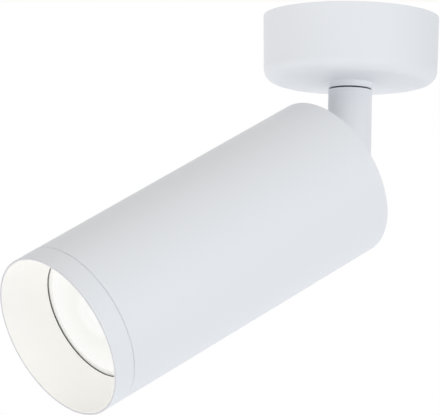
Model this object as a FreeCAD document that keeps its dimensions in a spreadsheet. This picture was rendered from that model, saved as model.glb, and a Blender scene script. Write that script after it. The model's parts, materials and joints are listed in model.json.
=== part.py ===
"""Surface mounted ceiling spotlight: canopy, stem with a knuckle joint, tube head, lamp and front ring.

Millimetres, +Z up. The origin is the middle of the canopy's rim on the ceiling. The head hangs in the XZ
plane and points towards -X, 60 degrees from straight down. Pieces under the ceiling are drawn in a frame
whose Z is the depth below it, and pieces of the head in one whose Z runs forward from the tube's rear edge.
"""

import FreeCAD, Part
import math
import os
import re

import Sketcher

DOC = FreeCAD.newDocument("CeilingSpotlight")
SHEET = DOC.addObject("Spreadsheet::Sheet", "Sizes")
SUBPARTS = []

SIZES = [
    ("canopy_radius", 32.2, "cup, outside, at the ceiling"),
    ("canopy_taper", 0.5, "narrowing of the cup's radius down to its floor"),
    ("canopy_height", 24.5, "ceiling to the underside of the cup"),
    ("canopy_corner", 4.9, "rounding of the cup's lower edge"),
    ("canopy_wall", 1.2, "sheet of the cup"),
    ("canopy_turn", 34.0, "degrees from the head's plane to the line of the cup's two set screws"),
    ("plate_radius", 27.0, "mounting plate"),
    ("plate_thick", 1.5, "its sheet"),
    ("ear_reach", 30.0, "axis to the outside of a bent ear"),
    ("ear_width", 10.0, ""),
    ("ear_depth", 12.0, "ceiling to the ear's end"),
    ("grub_depth", 7.0, "ceiling to the set screws' axis"),
    ("grub_radius", 1.5, "M3"),
    ("grub_length", 4.6, ""),
    ("grub_point", 0.5, "bevel of their points"),
    ("fixing_circle", 40.0, "diameter of the circle of the two ceiling screws"),
    ("fixing_hole", 2.25, "radius of their holes"),
    ("cable_hole", 7.0, "radius of the plate's cable hole"),
    ("cable_offset", 13.0, "axis to the cable hole"),
    ("block_offset", 16.0, "axis to the middle of the terminal block"),
    ("block_width", 14.0, "terminal block, along its wires"),
    ("block_height", 12.0, ""),
    ("block_base", 4.0, "its solid base under the grooves"),
    ("pole_pitch", 8.5, "between two poles of the block"),
    ("pole_groove", 1.6, "groove between two poles"),
    ("block_screw", 1.25, "radius of the screw that holds the block, M2.5"),
    ("wire_screw_sunk", 1.0, "block's top to the top of a wire screw"),
    ("insert_radius", 2.0, "brass barrel of a pole"),
    ("insert_bore", 1.4, ""),
    ("well_radius", 1.6, "screw well of a pole"),
    ("well_offset", 3.4, "pole's middle to a well"),
    ("block_well", 2.1, "well of the block's own screw"),
    ("earth_across", 10.0, "earth screw of the plate: offset along the ears"),
    ("earth_along", 15.0, "and across them"),
    ("earth_radius", 2.0, "M4"),
    ("earth_head", 3.5, "radius of its head"),
    ("earth_head_height", 2.4, ""),
    ("earth_tip", 0.2, "sheet's far face to the screw's tip"),
    ("earth_washer", 4.4, "radius of its cup washer"),
    ("earth_cup", 3.6, "radius of the washer's raised part"),
    ("nipple_radius", 5.0, "M10 nipple, the swivel's shaft"),
    ("nipple_bore", 3.5, "its wire way"),
    ("nipple_top", 14.8, "depth of its upper end"),
    ("nipple_end", 38.0, "depth of its lower end"),
    ("run_gap", 0.1, "radial clearance of a running fit"),
    ("collar_height", 2.5, "fixed collar under the cup"),
    ("washer_thick", 0.5, "plastic friction washers"),
    ("washer_radius", 9.0, "washers on the cup's floor"),
    ("gap_radius", 7.3, "dark washer in the swivel's gap"),
    ("spring_height", 0.8, "conical spring washer"),
    ("spring_sheet", 0.3, ""),
    ("stop_thick", 1.0, "stop washer"),
    ("stop_arm", 16.0, "axis to the end of its arm"),
    ("stop_arm_width", 2.12, ""),
    ("stop_arm_root", 6.0, "axis to the arm's root"),
    ("stop_circle", 14.0, "axis to the stop pin"),
    ("stop_radius", 1.25, "stop pin"),
    ("stop_height", 3.5, ""),
    ("nut_height", 4.0, "nut of the nipple"),
    ("nut_flats", 14.0, "across flats"),
    ("stem_radius", 8.0, ""),
    ("pivot_depth", 55.25, "ceiling to the tilt axis"),
    ("slot_half", 3.0, "half width of the fork's slot"),
    ("slot_above", 8.2, "tilt axis to the top of the slot"),
    ("thread_depth", 12.0, "threaded length in the stem"),
    ("pivot_radius", 2.0, "tilt screw, M4"),
    ("pivot_gap", 0.05, "radial clearance of the tilt screw"),
    ("pivot_head", 3.6, "radius of its head"),
    ("pivot_seat", 5.5, "head's plane to the fork's middle"),
    ("pivot_head_height", 1.5, ""),
    ("lock_flats", 7.0, "tilt screw's nut, across flats"),
    ("lock_seat", 4.6, "nut's plane to the fork's middle"),
    ("lock_height", 2.4, ""),
    ("friction_radius", 6.4, "friction washers of the tilt"),
    ("head_radius", 30.0, "tube, outside"),
    ("head_wall", 1.5, ""),
    ("head_length", 131.8, "rear edge of the tube to the front edge of the ring"),
    ("edge_round", 0.2, "broken outer edges"),
    ("seam_bevel", 0.25, "bevels that meet at the ring's seam"),
    ("pivot_setback", 10.5, "tilt axis to the tube's rear edge"),
    ("rest_tilt", 60.0, "degrees from straight down, as shown"),
    ("cap_recess", 1.0, "rear edge to the cap"),
    ("cap_thick", 3.0, ""),
    ("cap_earth", 20.0, "head's axis to the cap's earth screw"),
    ("foot_radius", 11.0, "foot of the hinge lug"),
    ("foot_rise", 1.5, "foot's face behind the rear edge"),
    ("tongue_half", 2.5, "half thickness of the tongue"),
    ("tongue_radius", 7.0, "its rounded end"),
    ("tongue_fillet", 0.6, ""),
    ("wire_offset", 4.7, "head's axis to the lug's wire bore"),
    ("wire_radius", 1.5, ""),
    ("bush_radius", 3.0, "cable bush in the cap"),
    ("bush_flange", 4.2, ""),
    ("bush_flange_thick", 1.0, ""),
    ("bush_bevel", 0.5, ""),
    ("lug_screw_offset", 7.5, ""),
    ("screw_radius", 1.5, "M3"),
    ("screw_head", 2.75, "radius of its head"),
    ("screw_head_height", 2.0, ""),
    ("bracket_leg", 14.0, "inside of the bracket's legs to the axis"),
    ("bracket_sheet", 1.2, ""),
    ("bracket_foot", 24.0, "end of a foot to the axis"),
    ("bracket_half", 7.0, "half width of the strip"),
    ("bracket_bend", 0.8, "inside of its bends"),
    ("bracket_screw", 20.0, "axis to its screws"),
    ("bracket_window", 5.0, "radius of its wire hole"),
    ("holder_seat", 50.2, "rear edge to the back of the lampholder"),
    ("holder_height", 17.0, ""),
    ("holder_half_width", 16.0, ""),
    ("holder_half_depth", 9.0, ""),
    ("holder_corner", 4.0, ""),
    ("holder_bevel", 0.8, ""),
    ("holder_screw", 11.5, "axis to its screws"),
    ("holder_well", 3.0, "radius of the screws' wells"),
    ("holder_well_depth", 3.0, ""),
    ("pin_circle", 5.0, "axis to a lamp pin"),
    ("pin_neck", 1.6, "lamp pin: radius of its neck"),
    ("pin_head", 2.5, "radius of its head"),
    ("pin_head_height", 2.6, ""),
    ("pin_length", 6.6, ""),
    ("lock_plate", 3.2, "thickness of the lampholder's face over the pin chambers"),
    ("chamber_depth", 8.6, "holder's face to the chambers' floor"),
    ("neck_slot", 1.9, "half width of the curved slots"),
    ("head_slot", 2.8, "radius of the way in for a pin's head"),
    ("lamp_turn", 20.0, "degrees from locked to released"),
    ("contact_radius", 2.3, ""),
    ("contact_thick", 0.5, ""),
    ("lamp_radius", 25.0, "reflector lamp"),
    ("lamp_face", 16.7, "front edge of the ring to the lamp's face"),
    ("lamp_gap", 0.5, "holder's face to the lamp's base"),
    ("base_radius", 8.7, "lamp's base"),
    ("base_height", 12.3, ""),
    ("base_bevel", 0.8, ""),
    ("base_flange", 13.0, ""),
    ("base_flange_height", 2.0, ""),
    ("bell_foot", 15.0, "lamp's body at its narrow end"),
    ("bell_foot_height", 8.0, ""),
    ("bell_rim", 24.6, ""),
    ("bell_height", 28.0, "base to the wide end of the bell"),
    ("bell_wall", 1.2, ""),
    ("bell_offset", 0.24, "lift of its inner corners, for an even wall"),
    ("bezel_inner", 21.8, "rim round the lens"),
    ("bezel_height", 2.5, ""),
    ("bezel_lip", 0.5, ""),
    ("lens_recess", 0.4, "bezel's face to the lens"),
    ("lens_thick", 1.8, ""),
    ("lens_seat", 22.9, "radius of the lens's edge behind the bezel's lip"),
    ("lens_gap", 0.4, "lip to the lens's raised middle"),
    ("lens_slope", 0.2, "slant of its step"),
    ("board_radius", 18.5, "board of the light sources"),
    ("board_thick", 1.6, ""),
    ("board_height", 20.0, "base to the board"),
    ("chip_half", 1.5, "light source, half its side"),
    ("chip_height", 0.7, ""),
    ("chip_circle", 9.0, ""),
    ("ring_depth", 8.85, "visible length of the front ring"),
    ("spigot_radius", 28.4, "threaded spigot of the ring"),
    ("spigot_bore", 26.9, ""),
    ("spigot_length", 7.7, ""),
    ("rim_width", 0.7, "front face of the ring"),
    ("lip_recess", 0.15, "front face to the baffle"),
    ("mouth_radius", 29.0, "baffle, inside, at the front"),
    ("throat_radius", 23.35, "baffle, inside, at the lamp"),
    ("throat_depth", 16.2, "front edge to the baffle's end"),
    ("baffle_wall", 1.05, ""),
    ("flange_thick", 0.8, "rear flange of the baffle"),
    ("gasket_inner", 23.4, "gasket between baffle and lamp"),
    ("gasket_outer", 26.4, ""),
    ("gasket_thick", 0.35, ""),
    ("gasket_gap", 0.05, "baffle to gasket, which does not turn with it"),
]


# ---------------------------------------------------------------- the sheet and the frames


def fill_sheet():
    """Write every driving size into the sheet as a plain number with an alias."""
    for row, (alias, number, note) in enumerate(SIZES, start=1):
        SHEET.set(f"A{row}", note)
        SHEET.set(f"B{row}", str(number))
        SHEET.setAlias(f"B{row}", alias)
    DOC.recompute()


SIZE = {alias: number for alias, number, note in SIZES}


def cells(text):
    """Turn the aliases in a formula into references to the sheet."""
    return re.sub(r"[a-z_]+", lambda word: ("Sizes." if word[0] in SIZE else "") + word[0], text)


def bind(thing, prop, text):
    thing.setExpression(prop, cells(text))


def frame(x="0", y="0", z="0", about=(0, 0, 1), angle="0"):
    """A placement as a formula: a turn about an axis, then a shift."""
    axis = "; ".join(str(part) for part in about)
    return f"placement(vector({x}; {y}; {z}); rotation(vector({axis}); {angle}))"


ACROSS, SIDE, UPRIGHT = (1, 0, 0), (0, 1, 0), (0, 0, 1)
UPRIGHT_VECTOR = FreeCAD.Vector(*UPRIGHT)
TOLERANCE = 1e-4

CEILING = frame(about=ACROSS, angle="180")
PLATE = CEILING + " * " + frame(about=UPRIGHT, angle="canopy_turn")
BLOCK = PLATE + " * " + frame(x="block_offset", z="plate_thick")
HEAD = frame(
    x="-pivot_setback * sin(rest_tilt * 1 deg)",
    z="-pivot_depth - pivot_setback * cos(rest_tilt * 1 deg)",
    about=SIDE,
    angle="180 + rest_tilt",
)
FRONT = HEAD + " * " + frame(z="head_length", about=ACROSS, angle="180")
LAMP = HEAD + " * " + frame(z="holder_seat + holder_height + lamp_gap")


# ---------------------------------------------------------------- sketches and features


def new_body(label, place):
    body = DOC.addObject("PartDesign::Body", label)
    body.Label = label
    bind(body, "Placement", place)
    return body


def keep(thing):
    """List a finished object as a sub-part that is written to its own file."""
    SUBPARTS.append(thing)
    return thing


def new_sketch(body, plane, offset="0"):
    """A sketch on one of the body's own planes, moved along that plane's normal."""
    sketch = body.newObject("Sketcher::SketchObject", body.Label + "_sketch")
    support = [item for item in body.Origin.OriginFeatures if item.Role == plane][0]
    sketch.AttachmentSupport = (support, [""])
    sketch.MapMode = "FlatFace"
    bind(sketch, "AttachmentOffset.Base.z", offset)
    return sketch


def hold(sketch, constraint, text):
    """Add a dimension whose value the sheet gives."""
    index = sketch.addConstraint(constraint)
    bind(sketch, f"Constraints[{index}]", text)


def pin_down(sketch, item, end, across, up):
    """Hold a point of a sketch at a place that the sheet gives."""
    hold(sketch, Sketcher.Constraint("DistanceX", -1, 1, item, end, 1.0), across)
    hold(sketch, Sketcher.Constraint("DistanceY", -1, 1, item, end, 1.0), up)


def draw_outline(sketch, corners):
    """A closed outline of straight lines through the given corners."""
    count = len(corners)
    first = sketch.GeometryCount
    turn = 2 * math.pi / count
    rough = [FreeCAD.Vector(10 + math.cos(turn * i), 10 + math.sin(turn * i), 0) for i in range(count)]
    for i in range(count):
        sketch.addGeometry(Part.LineSegment(rough[i], rough[(i + 1) % count]))
    for i in range(count):
        following = first + (i + 1) % count
        sketch.addConstraint(Sketcher.Constraint("Coincident", first + i, 2, following, 1))
        pin_down(sketch, first + i, 1, *corners[i])


def draw_box(sketch, left, low, right, high):
    draw_outline(sketch, [(left, low), (right, low), (right, high), (left, high)])


def draw_circle(sketch, across, up, radius):
    item = sketch.addGeometry(Part.Circle(FreeCAD.Vector(0, 0, 0), UPRIGHT_VECTOR, 1.0))
    pin_down(sketch, item, MIDDLE, across, up)
    hold(sketch, Sketcher.Constraint("Radius", item, 1.0), radius)


MIDDLE = 3
HEXAGON = 6
SIXTH = 360 // HEXAGON


def draw_hexagon(sketch, flats):
    """A hexagon round the origin, by the distance across its flats."""
    corners = []
    for i in range(HEXAGON):
        angle = f"{SIXTH * i} deg"
        corners.append((f"{flats} / sqrt(3) * cos({angle})", f"{flats} / sqrt(3) * sin({angle})"))
    draw_outline(sketch, corners)


def feature(body, kind, sketch):
    made = body.newObject("PartDesign::" + kind, body.Label + "_" + kind.lower())
    made.Profile = sketch
    body.Tip = made
    return made


def spin(body, corners):
    """Revolve an outline of (radius, height) corners about the body's Z axis."""
    sketch = new_sketch(body, "XZ_Plane")
    draw_outline(sketch, corners)
    made = feature(body, "Revolution", sketch)
    made.ReferenceAxis = (sketch, ["V_Axis"])
    made.Angle = 360
    return made


def pad(body, sketch, length, both_ways=False):
    made = feature(body, "Pad", sketch)
    bind(made, "Length", length)
    if both_ways:
        made.SideType = "Symmetric"
    return made


def pocket(body, sketch, depth=None, upward=False, both_ways=False):
    """Cut a sketch out, down from its plane, upward or both ways. Without a depth it goes right through."""
    made = feature(body, "Pocket", sketch)
    made.Reversed = upward
    if depth is None:
        made.Type = "ThroughAll"
    else:
        bind(made, "Length", depth)
    if both_ways:
        made.SideType = "Symmetric"
    return made


def drill(body, plane, holes, depth=None, offset="0", upward=False, both_ways=False):
    """Round holes of (across, up, radius) cut together from one sketch."""
    sketch = new_sketch(body, plane, offset)
    for across, up, radius in holes:
        draw_circle(sketch, across, up, radius)
    return pocket(body, sketch, depth, upward, both_ways)


def sector_groove(body, corners, angle):
    """Cut an outline that is swept about the Z axis through part of a turn."""
    sketch = new_sketch(body, "XZ_Plane")
    draw_outline(sketch, corners)
    made = feature(body, "Groove", sketch)
    made.ReferenceAxis = (sketch, ["V_Axis"])
    bind(made, "Angle", angle)
    return made


def repeat_round(body, originals, count):
    made = body.newObject("PartDesign::PolarPattern", body.Label + "_pattern")
    made.Originals = originals
    axis = [item for item in body.Origin.OriginFeatures if item.Role == "Z_Axis"][0]
    made.Axis = (axis, [""])
    made.Angle = 360
    made.Occurrences = count
    body.Tip = made
    return made


def repeat_along(body, originals, role, span, count):
    made = body.newObject("PartDesign::LinearPattern", body.Label + "_pattern")
    made.Originals = originals
    axis = [item for item in body.Origin.OriginFeatures if item.Role == role][0]
    made.Direction = (axis, [""])
    bind(made, "Length", span)
    made.Occurrences = count
    body.Tip = made
    return made


def same(a, b):
    return abs(a - b) < TOLERANCE


def edges_where(shape, test):
    return [f"Edge{i}" for i, edge in enumerate(shape.Edges, start=1) if test(edge)]


def is_rim(edge, radius, height):
    """True for a full circle about the Z axis at that height."""
    curve = edge.Curve
    if not isinstance(curve, Part.Circle):
        return False
    return same(curve.Radius, radius) and same(curve.Center.z, height)


def dress(body, kind, prop, text, test):
    """Fillet or chamfer the edges of the body's last feature that pass the test."""
    DOC.recompute()
    last = body.Tip
    names = edges_where(last.Shape, test)
    if not names:
        raise ValueError(f"no edge to {kind.lower()} on {body.Label}")
    made = body.newObject("PartDesign::" + kind, body.Label + "_" + kind.lower())
    made.Base = (last, names)
    bind(made, prop, text)
    body.Tip = made
    return made


def fillet(body, radius, test):
    return dress(body, "Fillet", "Radius", radius, test)


def chamfer(body, size, test):
    return dress(body, "Chamfer", "Size", size, test)


def turned(label, place, corners):
    """A sub-part made on a lathe: one outline about its axis."""
    body = new_body(label, place)
    spin(body, corners)
    return body


def ring(label, place, inner, outer, low, high):
    return turned(label, place, [(inner, low), (outer, low), (outer, high), (inner, high)])


def screw(label, place, shank, head, seat, tip, top):
    """A screw along its Z axis: its head stands on the seat, its shank ends at the tip."""
    outline = [("0", tip), (shank, tip), (shank, seat), (head, seat), (head, top), ("0", top)]
    return turned(label, place, outline)


def group(label, members):
    """Several separate solids under one name."""
    made = DOC.addObject("Part::Compound", label)
    made.Label = label
    made.Links = members
    return keep(made)


# ---------------------------------------------------------------- fixed to the ceiling


def mounting_plate():
    """Pressed plate on the ceiling, with two ears bent down for the cup's set screws."""
    body = new_body("mounting_plate", PLATE)
    disc = new_sketch(body, "XY_Plane")
    draw_circle(disc, "0", "0", "plate_radius")
    pad(body, disc, "plate_thick")
    bridge = new_sketch(body, "XY_Plane")
    draw_box(bridge, "plate_radius - ear_width / 2", "-ear_width / 2", "ear_reach", "ear_width / 2")
    bridge_pad = pad(body, bridge, "plate_thick")
    ear = new_sketch(body, "XY_Plane")
    draw_box(ear, "ear_reach - plate_thick", "-ear_width / 2", "ear_reach", "ear_width / 2")
    ear_pad = pad(body, ear, "ear_depth")
    repeat_round(body, [bridge_pad, ear_pad], 2)
    fillet(body, "plate_thick", lambda edge: is_bend(edge, SIZE["ear_reach"], 0.0))
    drill(body, "YZ_Plane", [("0", "grub_depth", "grub_radius")], both_ways=True)
    holes = [
        ("0", "fixing_circle / 2", "fixing_hole"),
        ("0", "-fixing_circle / 2", "fixing_hole"),
        ("-cable_offset", "0", "cable_hole"),
        ("block_offset", "-pole_pitch / 2", "block_screw"),
        ("-earth_across", "earth_along", "earth_radius"),
    ]
    drill(body, "XY_Plane", holes, upward=True)
    return keep(body)


def is_bend(edge, reach, height):
    """True for a straight edge across an ear, at that distance from the axis and that depth."""
    if not isinstance(edge.Curve, Part.Line):
        return False
    middle = edge.CenterOfMass
    return same(abs(middle.x), reach) and same(middle.z, height) and same(middle.y, 0)


def canopy_cup():
    """Drawn cup: a tapered solid with a rounded lower edge, hollowed to the sheet's thickness."""
    body = new_body("canopy_cup", PLATE)
    low_radius = "canopy_radius - canopy_taper"
    spin(body, [("0", "0"), ("canopy_radius", "0"), (low_radius, "canopy_height"), ("0", "canopy_height")])
    floor_radius = SIZE["canopy_radius"] - SIZE["canopy_taper"]
    fillet(body, "canopy_corner", lambda edge: is_rim(edge, floor_radius, SIZE["canopy_height"]))
    DOC.recompute()
    solid = body.Tip
    top = [i for i, face in enumerate(solid.Shape.Faces, start=1) if same(face.CenterOfMass.z, 0)]
    shell = body.newObject("PartDesign::Thickness", "canopy_cup_shell")
    shell.Base = (solid, [f"Face{i}" for i in top])
    bind(shell, "Value", "canopy_wall")
    shell.Reversed = True
    body.Tip = shell
    drill(body, "XY_Plane", [("0", "0", "nipple_radius + run_gap")], upward=True)
    drill(body, "YZ_Plane", [("0", "grub_depth", "grub_radius + run_gap")], both_ways=True)
    return keep(body)


def canopy_grub_screws():
    """Two set screws through the cup's wall into the ears."""
    screws = []
    for i, angle in enumerate(("90", "-90")):
        place = PLATE + " * " + frame(z="grub_depth", about=SIDE, angle=angle)
        outer = "canopy_radius - canopy_wall / 2"
        point = f"{outer} - grub_length"
        outline = [("0", point), ("grub_radius - grub_point", point)]
        outline += [("grub_radius", point + " + grub_point"), ("grub_radius", outer), ("0", outer)]
        screws.append(turned(f"grub_screw_{i}", place, outline))
    return group("canopy_grub_screws", screws)


def terminal_block():
    """Three-pole block: moulded poles with grooves between them, barrel bores and screw wells."""
    body = new_body("terminal_block", BLOCK)
    base = new_sketch(body, "XY_Plane")
    draw_box(base, "-block_width / 2", "-1.5 * pole_pitch", "block_width / 2", "1.5 * pole_pitch")
    pad(body, base, "block_height")
    top = SIZE["block_height"]
    half = SIZE["block_width"] / 2
    fillet(body, "well_radius", lambda edge: is_long_edge(edge, half, top))
    groove = new_sketch(body, "XY_Plane", "block_base")
    low, high = "-pole_pitch / 2 - pole_groove / 2", "-pole_pitch / 2 + pole_groove / 2"
    draw_box(groove, "-block_width", low, "block_width", high)
    groove_cut = pocket(body, groove, upward=True)
    middle = "block_base + insert_radius"
    bore = drill(body, "YZ_Plane", [("-pole_pitch", middle, "insert_radius")], both_ways=True)
    wells = [("-well_offset", "-pole_pitch", "well_radius"), ("well_offset", "-pole_pitch", "well_radius")]
    well_cut = drill(body, "XY_Plane", wells, offset=middle, upward=True)
    repeat_along(body, [bore, well_cut], "Y_Axis", "2 * pole_pitch", 3)
    repeat_along(body, [groove_cut], "Y_Axis", "pole_pitch", 2)
    fixing = ("0", "-pole_pitch / 2")
    drill(body, "XY_Plane", [(*fixing, "screw_radius")], upward=True)
    drill(body, "XY_Plane", [(*fixing, "block_well")], offset="block_base", upward=True)
    return keep(body)


def is_long_edge(edge, half, height):
    """True for the two straight upper edges along the row of poles."""
    middle = edge.CenterOfMass
    return same(abs(middle.x), half) and same(middle.z, height)


POLES = (-1, 0, 1)


def terminal_inserts():
    barrels = []
    for pole in POLES:
        along, middle = f"{pole} * pole_pitch", "block_base + insert_radius"
        place = f"{BLOCK} * " + frame(y=along, z=middle, about=SIDE, angle="90")
        name = f"insert_{pole + 1}"
        half = "block_width / 2 - washer_thick"
        barrels.append(ring(name, place, "insert_bore", "insert_radius", f"-({half})", half))
    return group("terminal_inserts", barrels)


def terminal_screws():
    screws = []
    for pole in POLES:
        for side in (-1, 1):
            place = f"{BLOCK} * " + frame(x=f"{side} * well_offset", y=f"{pole} * pole_pitch")
            low, high = "block_base + 2 * insert_radius", "block_height - wire_screw_sunk"
            name = f"wire_screw_{len(screws)}"
            screws.append(ring(name, place, "0", "well_radius - run_gap", low, high))
    return group("terminal_screws", screws)


def terminal_block_screw():
    place = f"{BLOCK} * " + frame(y="-pole_pitch / 2")
    head, top = "block_well - run_gap", "block_base + screw_head_height"
    return keep(screw("terminal_block_screw", place, "block_screw", head, "block_base", "-plate_thick", top))


def earth_terminal(washer_label, screw_label, place):
    """A cup washer and an M4 screw on a sheet whose face is the place's zero."""
    washer = turned(
        washer_label,
        place,
        [
            ("earth_radius", "0"),
            ("earth_washer", "0"),
            ("earth_washer", "washer_thick"),
            ("earth_cup", "2 * washer_thick"),
            ("earth_radius", "2 * washer_thick"),
        ],
    )
    keep(washer)
    seat, tip = "2 * washer_thick", "-plate_thick + earth_tip"
    keep(screw(screw_label, place, "earth_radius", "earth_head", seat, tip, seat + " + earth_head_height"))


def swivel_collar():
    """Fixed collar under the cup, the same width as the stem."""
    low = "canopy_height + collar_height"
    body = ring("swivel_collar", CEILING, "nipple_radius + run_gap", "stem_radius", "canopy_height", low)
    height = SIZE["canopy_height"] + SIZE["collar_height"]
    chamfer(body, "seam_bevel", lambda edge: is_rim(edge, SIZE["stem_radius"], height))
    return keep(body)


CUP_FLOOR = "canopy_height - canopy_wall"
WASHER_TOP = CUP_FLOOR + " - washer_thick"
SPRING_TOP = WASHER_TOP + " - spring_height"
STOP_TOP = SPRING_TOP + " - stop_thick"


def floor_washer():
    inner = "nipple_radius + run_gap"
    return keep(ring("floor_washer", CEILING, inner, "washer_radius", WASHER_TOP, CUP_FLOOR))


def stop_pin():
    """Pin on the cup's floor, opposite to the arm that it stops at either end of the swivel."""
    place = CEILING + " * " + frame(x="-stop_circle")
    return keep(ring("stop_pin", place, "0", "stop_radius", CUP_FLOOR + " - stop_height", CUP_FLOOR))


# ---------------------------------------------------------------- turning with the stem


def spring_washer():
    """Conical spring washer between the stop washer and the washer on the cup's floor."""
    inner = "nipple_radius + run_gap"
    outline = [
        (inner, SPRING_TOP),
        (inner, SPRING_TOP + " + spring_sheet"),
        ("washer_radius", WASHER_TOP),
        ("washer_radius", WASHER_TOP + " - spring_sheet"),
    ]
    return keep(turned("spring_washer", CEILING, outline))


def stop_washer():
    body = new_body("stop_washer", CEILING)
    disc = new_sketch(body, "XY_Plane", STOP_TOP)
    draw_circle(disc, "0", "0", "washer_radius")
    pad(body, disc, "stop_thick")
    arm = new_sketch(body, "XY_Plane", STOP_TOP)
    draw_box(arm, "stop_arm_root", "-stop_arm_width / 2", "stop_arm", "stop_arm_width / 2")
    pad(body, arm, "stop_thick")
    drill(body, "XY_Plane", [("0", "0", "nipple_radius")], upward=True)
    return keep(body)


def nipple_nut():
    body = new_body("nipple_nut", CEILING)
    sketch = new_sketch(body, "XY_Plane", STOP_TOP + " - nut_height")
    draw_hexagon(sketch, "nut_flats")
    draw_circle(sketch, "0", "0", "nipple_radius")
    pad(body, sketch, "nut_height")
    return keep(body)


def stem_fork():
    """Round stem: its lower end is rounded about the tilt axis and slotted for the tongue."""
    body = new_body("stem_fork", CEILING)
    top = "canopy_height + collar_height + washer_thick"
    end = "pivot_depth + stem_radius"
    rod = new_sketch(body, "XY_Plane", top)
    draw_circle(rod, "0", "0", "stem_radius")
    pad(body, rod, f"{end} - ({top})")
    round_the_end(body)
    slot = new_sketch(body, "XZ_Plane")
    wide = "2 * stem_radius"
    draw_box(slot, "-" + wide, "pivot_depth - slot_above", wide, "pivot_depth + " + wide)
    pocket(body, slot, "2 * slot_half", both_ways=True)
    drill(body, "XY_Plane", [("0", "0", "nipple_radius")], depth="thread_depth", offset=top, upward=True)
    drill(body, "XY_Plane", [("0", "0", "nipple_bore")], depth="pivot_depth - slot_above", upward=True)
    drill(body, "XZ_Plane", [("0", "pivot_depth", "pivot_radius + pivot_gap")], both_ways=True)
    head_hole = [("0", "pivot_depth", "pivot_head + run_gap")]
    drill(body, "XZ_Plane", head_hole, offset="-pivot_seat", upward=False)
    nut_hole = new_sketch(body, "XZ_Plane", "lock_seat")
    nut_hole.setExpression("AttachmentOffset.Base.y", cells("pivot_depth"))
    draw_hexagon(nut_hole, "(lock_flats + run_gap)")
    pocket(body, nut_hole, upward=True)
    return keep(body)


def round_the_end(body):
    """Cut the stem's end to a half cylinder about the tilt axis."""
    sketch = new_sketch(body, "XZ_Plane")
    wide, low, high = "2 * stem_radius", "pivot_depth", "pivot_depth + 2 * stem_radius"
    circle = Part.Circle(FreeCAD.Vector(0, SIZE["pivot_depth"], 0), UPRIGHT_VECTOR, SIZE["stem_radius"])
    arc = sketch.addGeometry(Part.ArcOfCircle(circle, 0, math.pi))
    pin_down(sketch, arc, MIDDLE, "0", low)
    hold(sketch, Sketcher.Constraint("Radius", arc, SIZE["stem_radius"]), "stem_radius")
    for end in (1, 2):
        hold(sketch, Sketcher.Constraint("DistanceY", -1, 1, arc, end, SIZE["pivot_depth"]), low)
    start, stop = sketch.getPoint(arc, 1), sketch.getPoint(arc, 2)
    reach = FreeCAD.Vector(SIZE["stem_radius"], 0, 0)
    drop = FreeCAD.Vector(0, 2 * SIZE["stem_radius"], 0)
    path = [stop, stop - reach, stop - reach + drop, start + reach + drop, start + reach, start]
    lines = [sketch.addGeometry(Part.LineSegment(a, b)) for a, b in zip(path, path[1:])]
    sketch.addConstraint(Sketcher.Constraint("Coincident", arc, 2, lines[0], 1))
    sketch.addConstraint(Sketcher.Constraint("Coincident", lines[-1], 2, arc, 1))
    corners = [("-" + wide, low), ("-" + wide, high), (wide, high), (wide, low)]
    for before, after, corner in zip(lines, lines[1:], corners):
        sketch.addConstraint(Sketcher.Constraint("Coincident", before, 2, after, 1))
        pin_down(sketch, after, 1, *corner)
    pocket(body, sketch, "4 * stem_radius", both_ways=True)


def swivel_washer():
    """Black washer, narrower than the stem, that shows as the dark line of the swivel."""
    top = "canopy_height + collar_height"
    return keep(ring("swivel_washer", CEILING, "nipple_radius", "gap_radius", top, top + " + washer_thick"))


def threaded_nipple():
    return keep(ring("threaded_nipple", CEILING, "nipple_bore", "nipple_radius", "nipple_top", "nipple_end"))


PIVOT = CEILING + " * " + frame(z="pivot_depth", about=ACROSS, angle="-90")


def pivot_screw():
    """Tilt screw: Z runs along its axis, towards its head."""
    tip = "-(lock_seat + lock_height)"
    top = "pivot_seat + pivot_head_height"
    return keep(screw("pivot_screw", PIVOT, "pivot_radius", "pivot_head", "pivot_seat", tip, top))


def pivot_nut():
    body = new_body("pivot_nut", PIVOT)
    sketch = new_sketch(body, "XY_Plane", "-(lock_seat + lock_height)")
    draw_hexagon(sketch, "lock_flats")
    draw_circle(sketch, "0", "0", "pivot_radius")
    pad(body, sketch, "lock_height")
    return keep(body)


def friction_washers():
    washers = []
    inner = "pivot_radius + run_gap"
    for i, (low, high) in enumerate((("tongue_half", "slot_half"), ("-slot_half", "-tongue_half"))):
        washers.append(ring(f"friction_washer_{i}", PIVOT, inner, "friction_radius", low, high))
    return group("friction_washers", washers)


# ---------------------------------------------------------------- tilting with the head


def tube_housing():
    """Extruded tube, open at both ends, with a bevel at the ring's seam."""
    length = "head_length - ring_depth"
    body = ring("tube_housing", HEAD, "head_radius - head_wall", "head_radius", "0", length)
    outer = SIZE["head_radius"]
    fillet(body, "edge_round", lambda edge: is_rim(edge, outer, 0.0))
    seam = SIZE["head_length"] - SIZE["ring_depth"]
    chamfer(body, "seam_bevel", lambda edge: is_rim(edge, outer, seam))
    return keep(body)


CAP_FACE = "cap_recess + cap_thick"


def rear_cap():
    body = ring("rear_cap", HEAD, "0", "head_radius - head_wall", "cap_recess", CAP_FACE)
    bore = SIZE["head_radius"] - SIZE["head_wall"]
    chamfer(body, "edge_round", lambda edge: is_rim(edge, bore, SIZE["cap_recess"]))
    holes = [
        ("wire_offset", "0", "bush_radius"),
        ("0", "lug_screw_offset", "screw_radius"),
        ("0", "-lug_screw_offset", "screw_radius"),
        ("bracket_screw", "0", "screw_radius"),
        ("-bracket_screw", "0", "screw_radius"),
        ("0", "cap_earth", "earth_radius"),
    ]
    drill(body, "XY_Plane", holes, upward=True)
    return keep(body)


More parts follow.
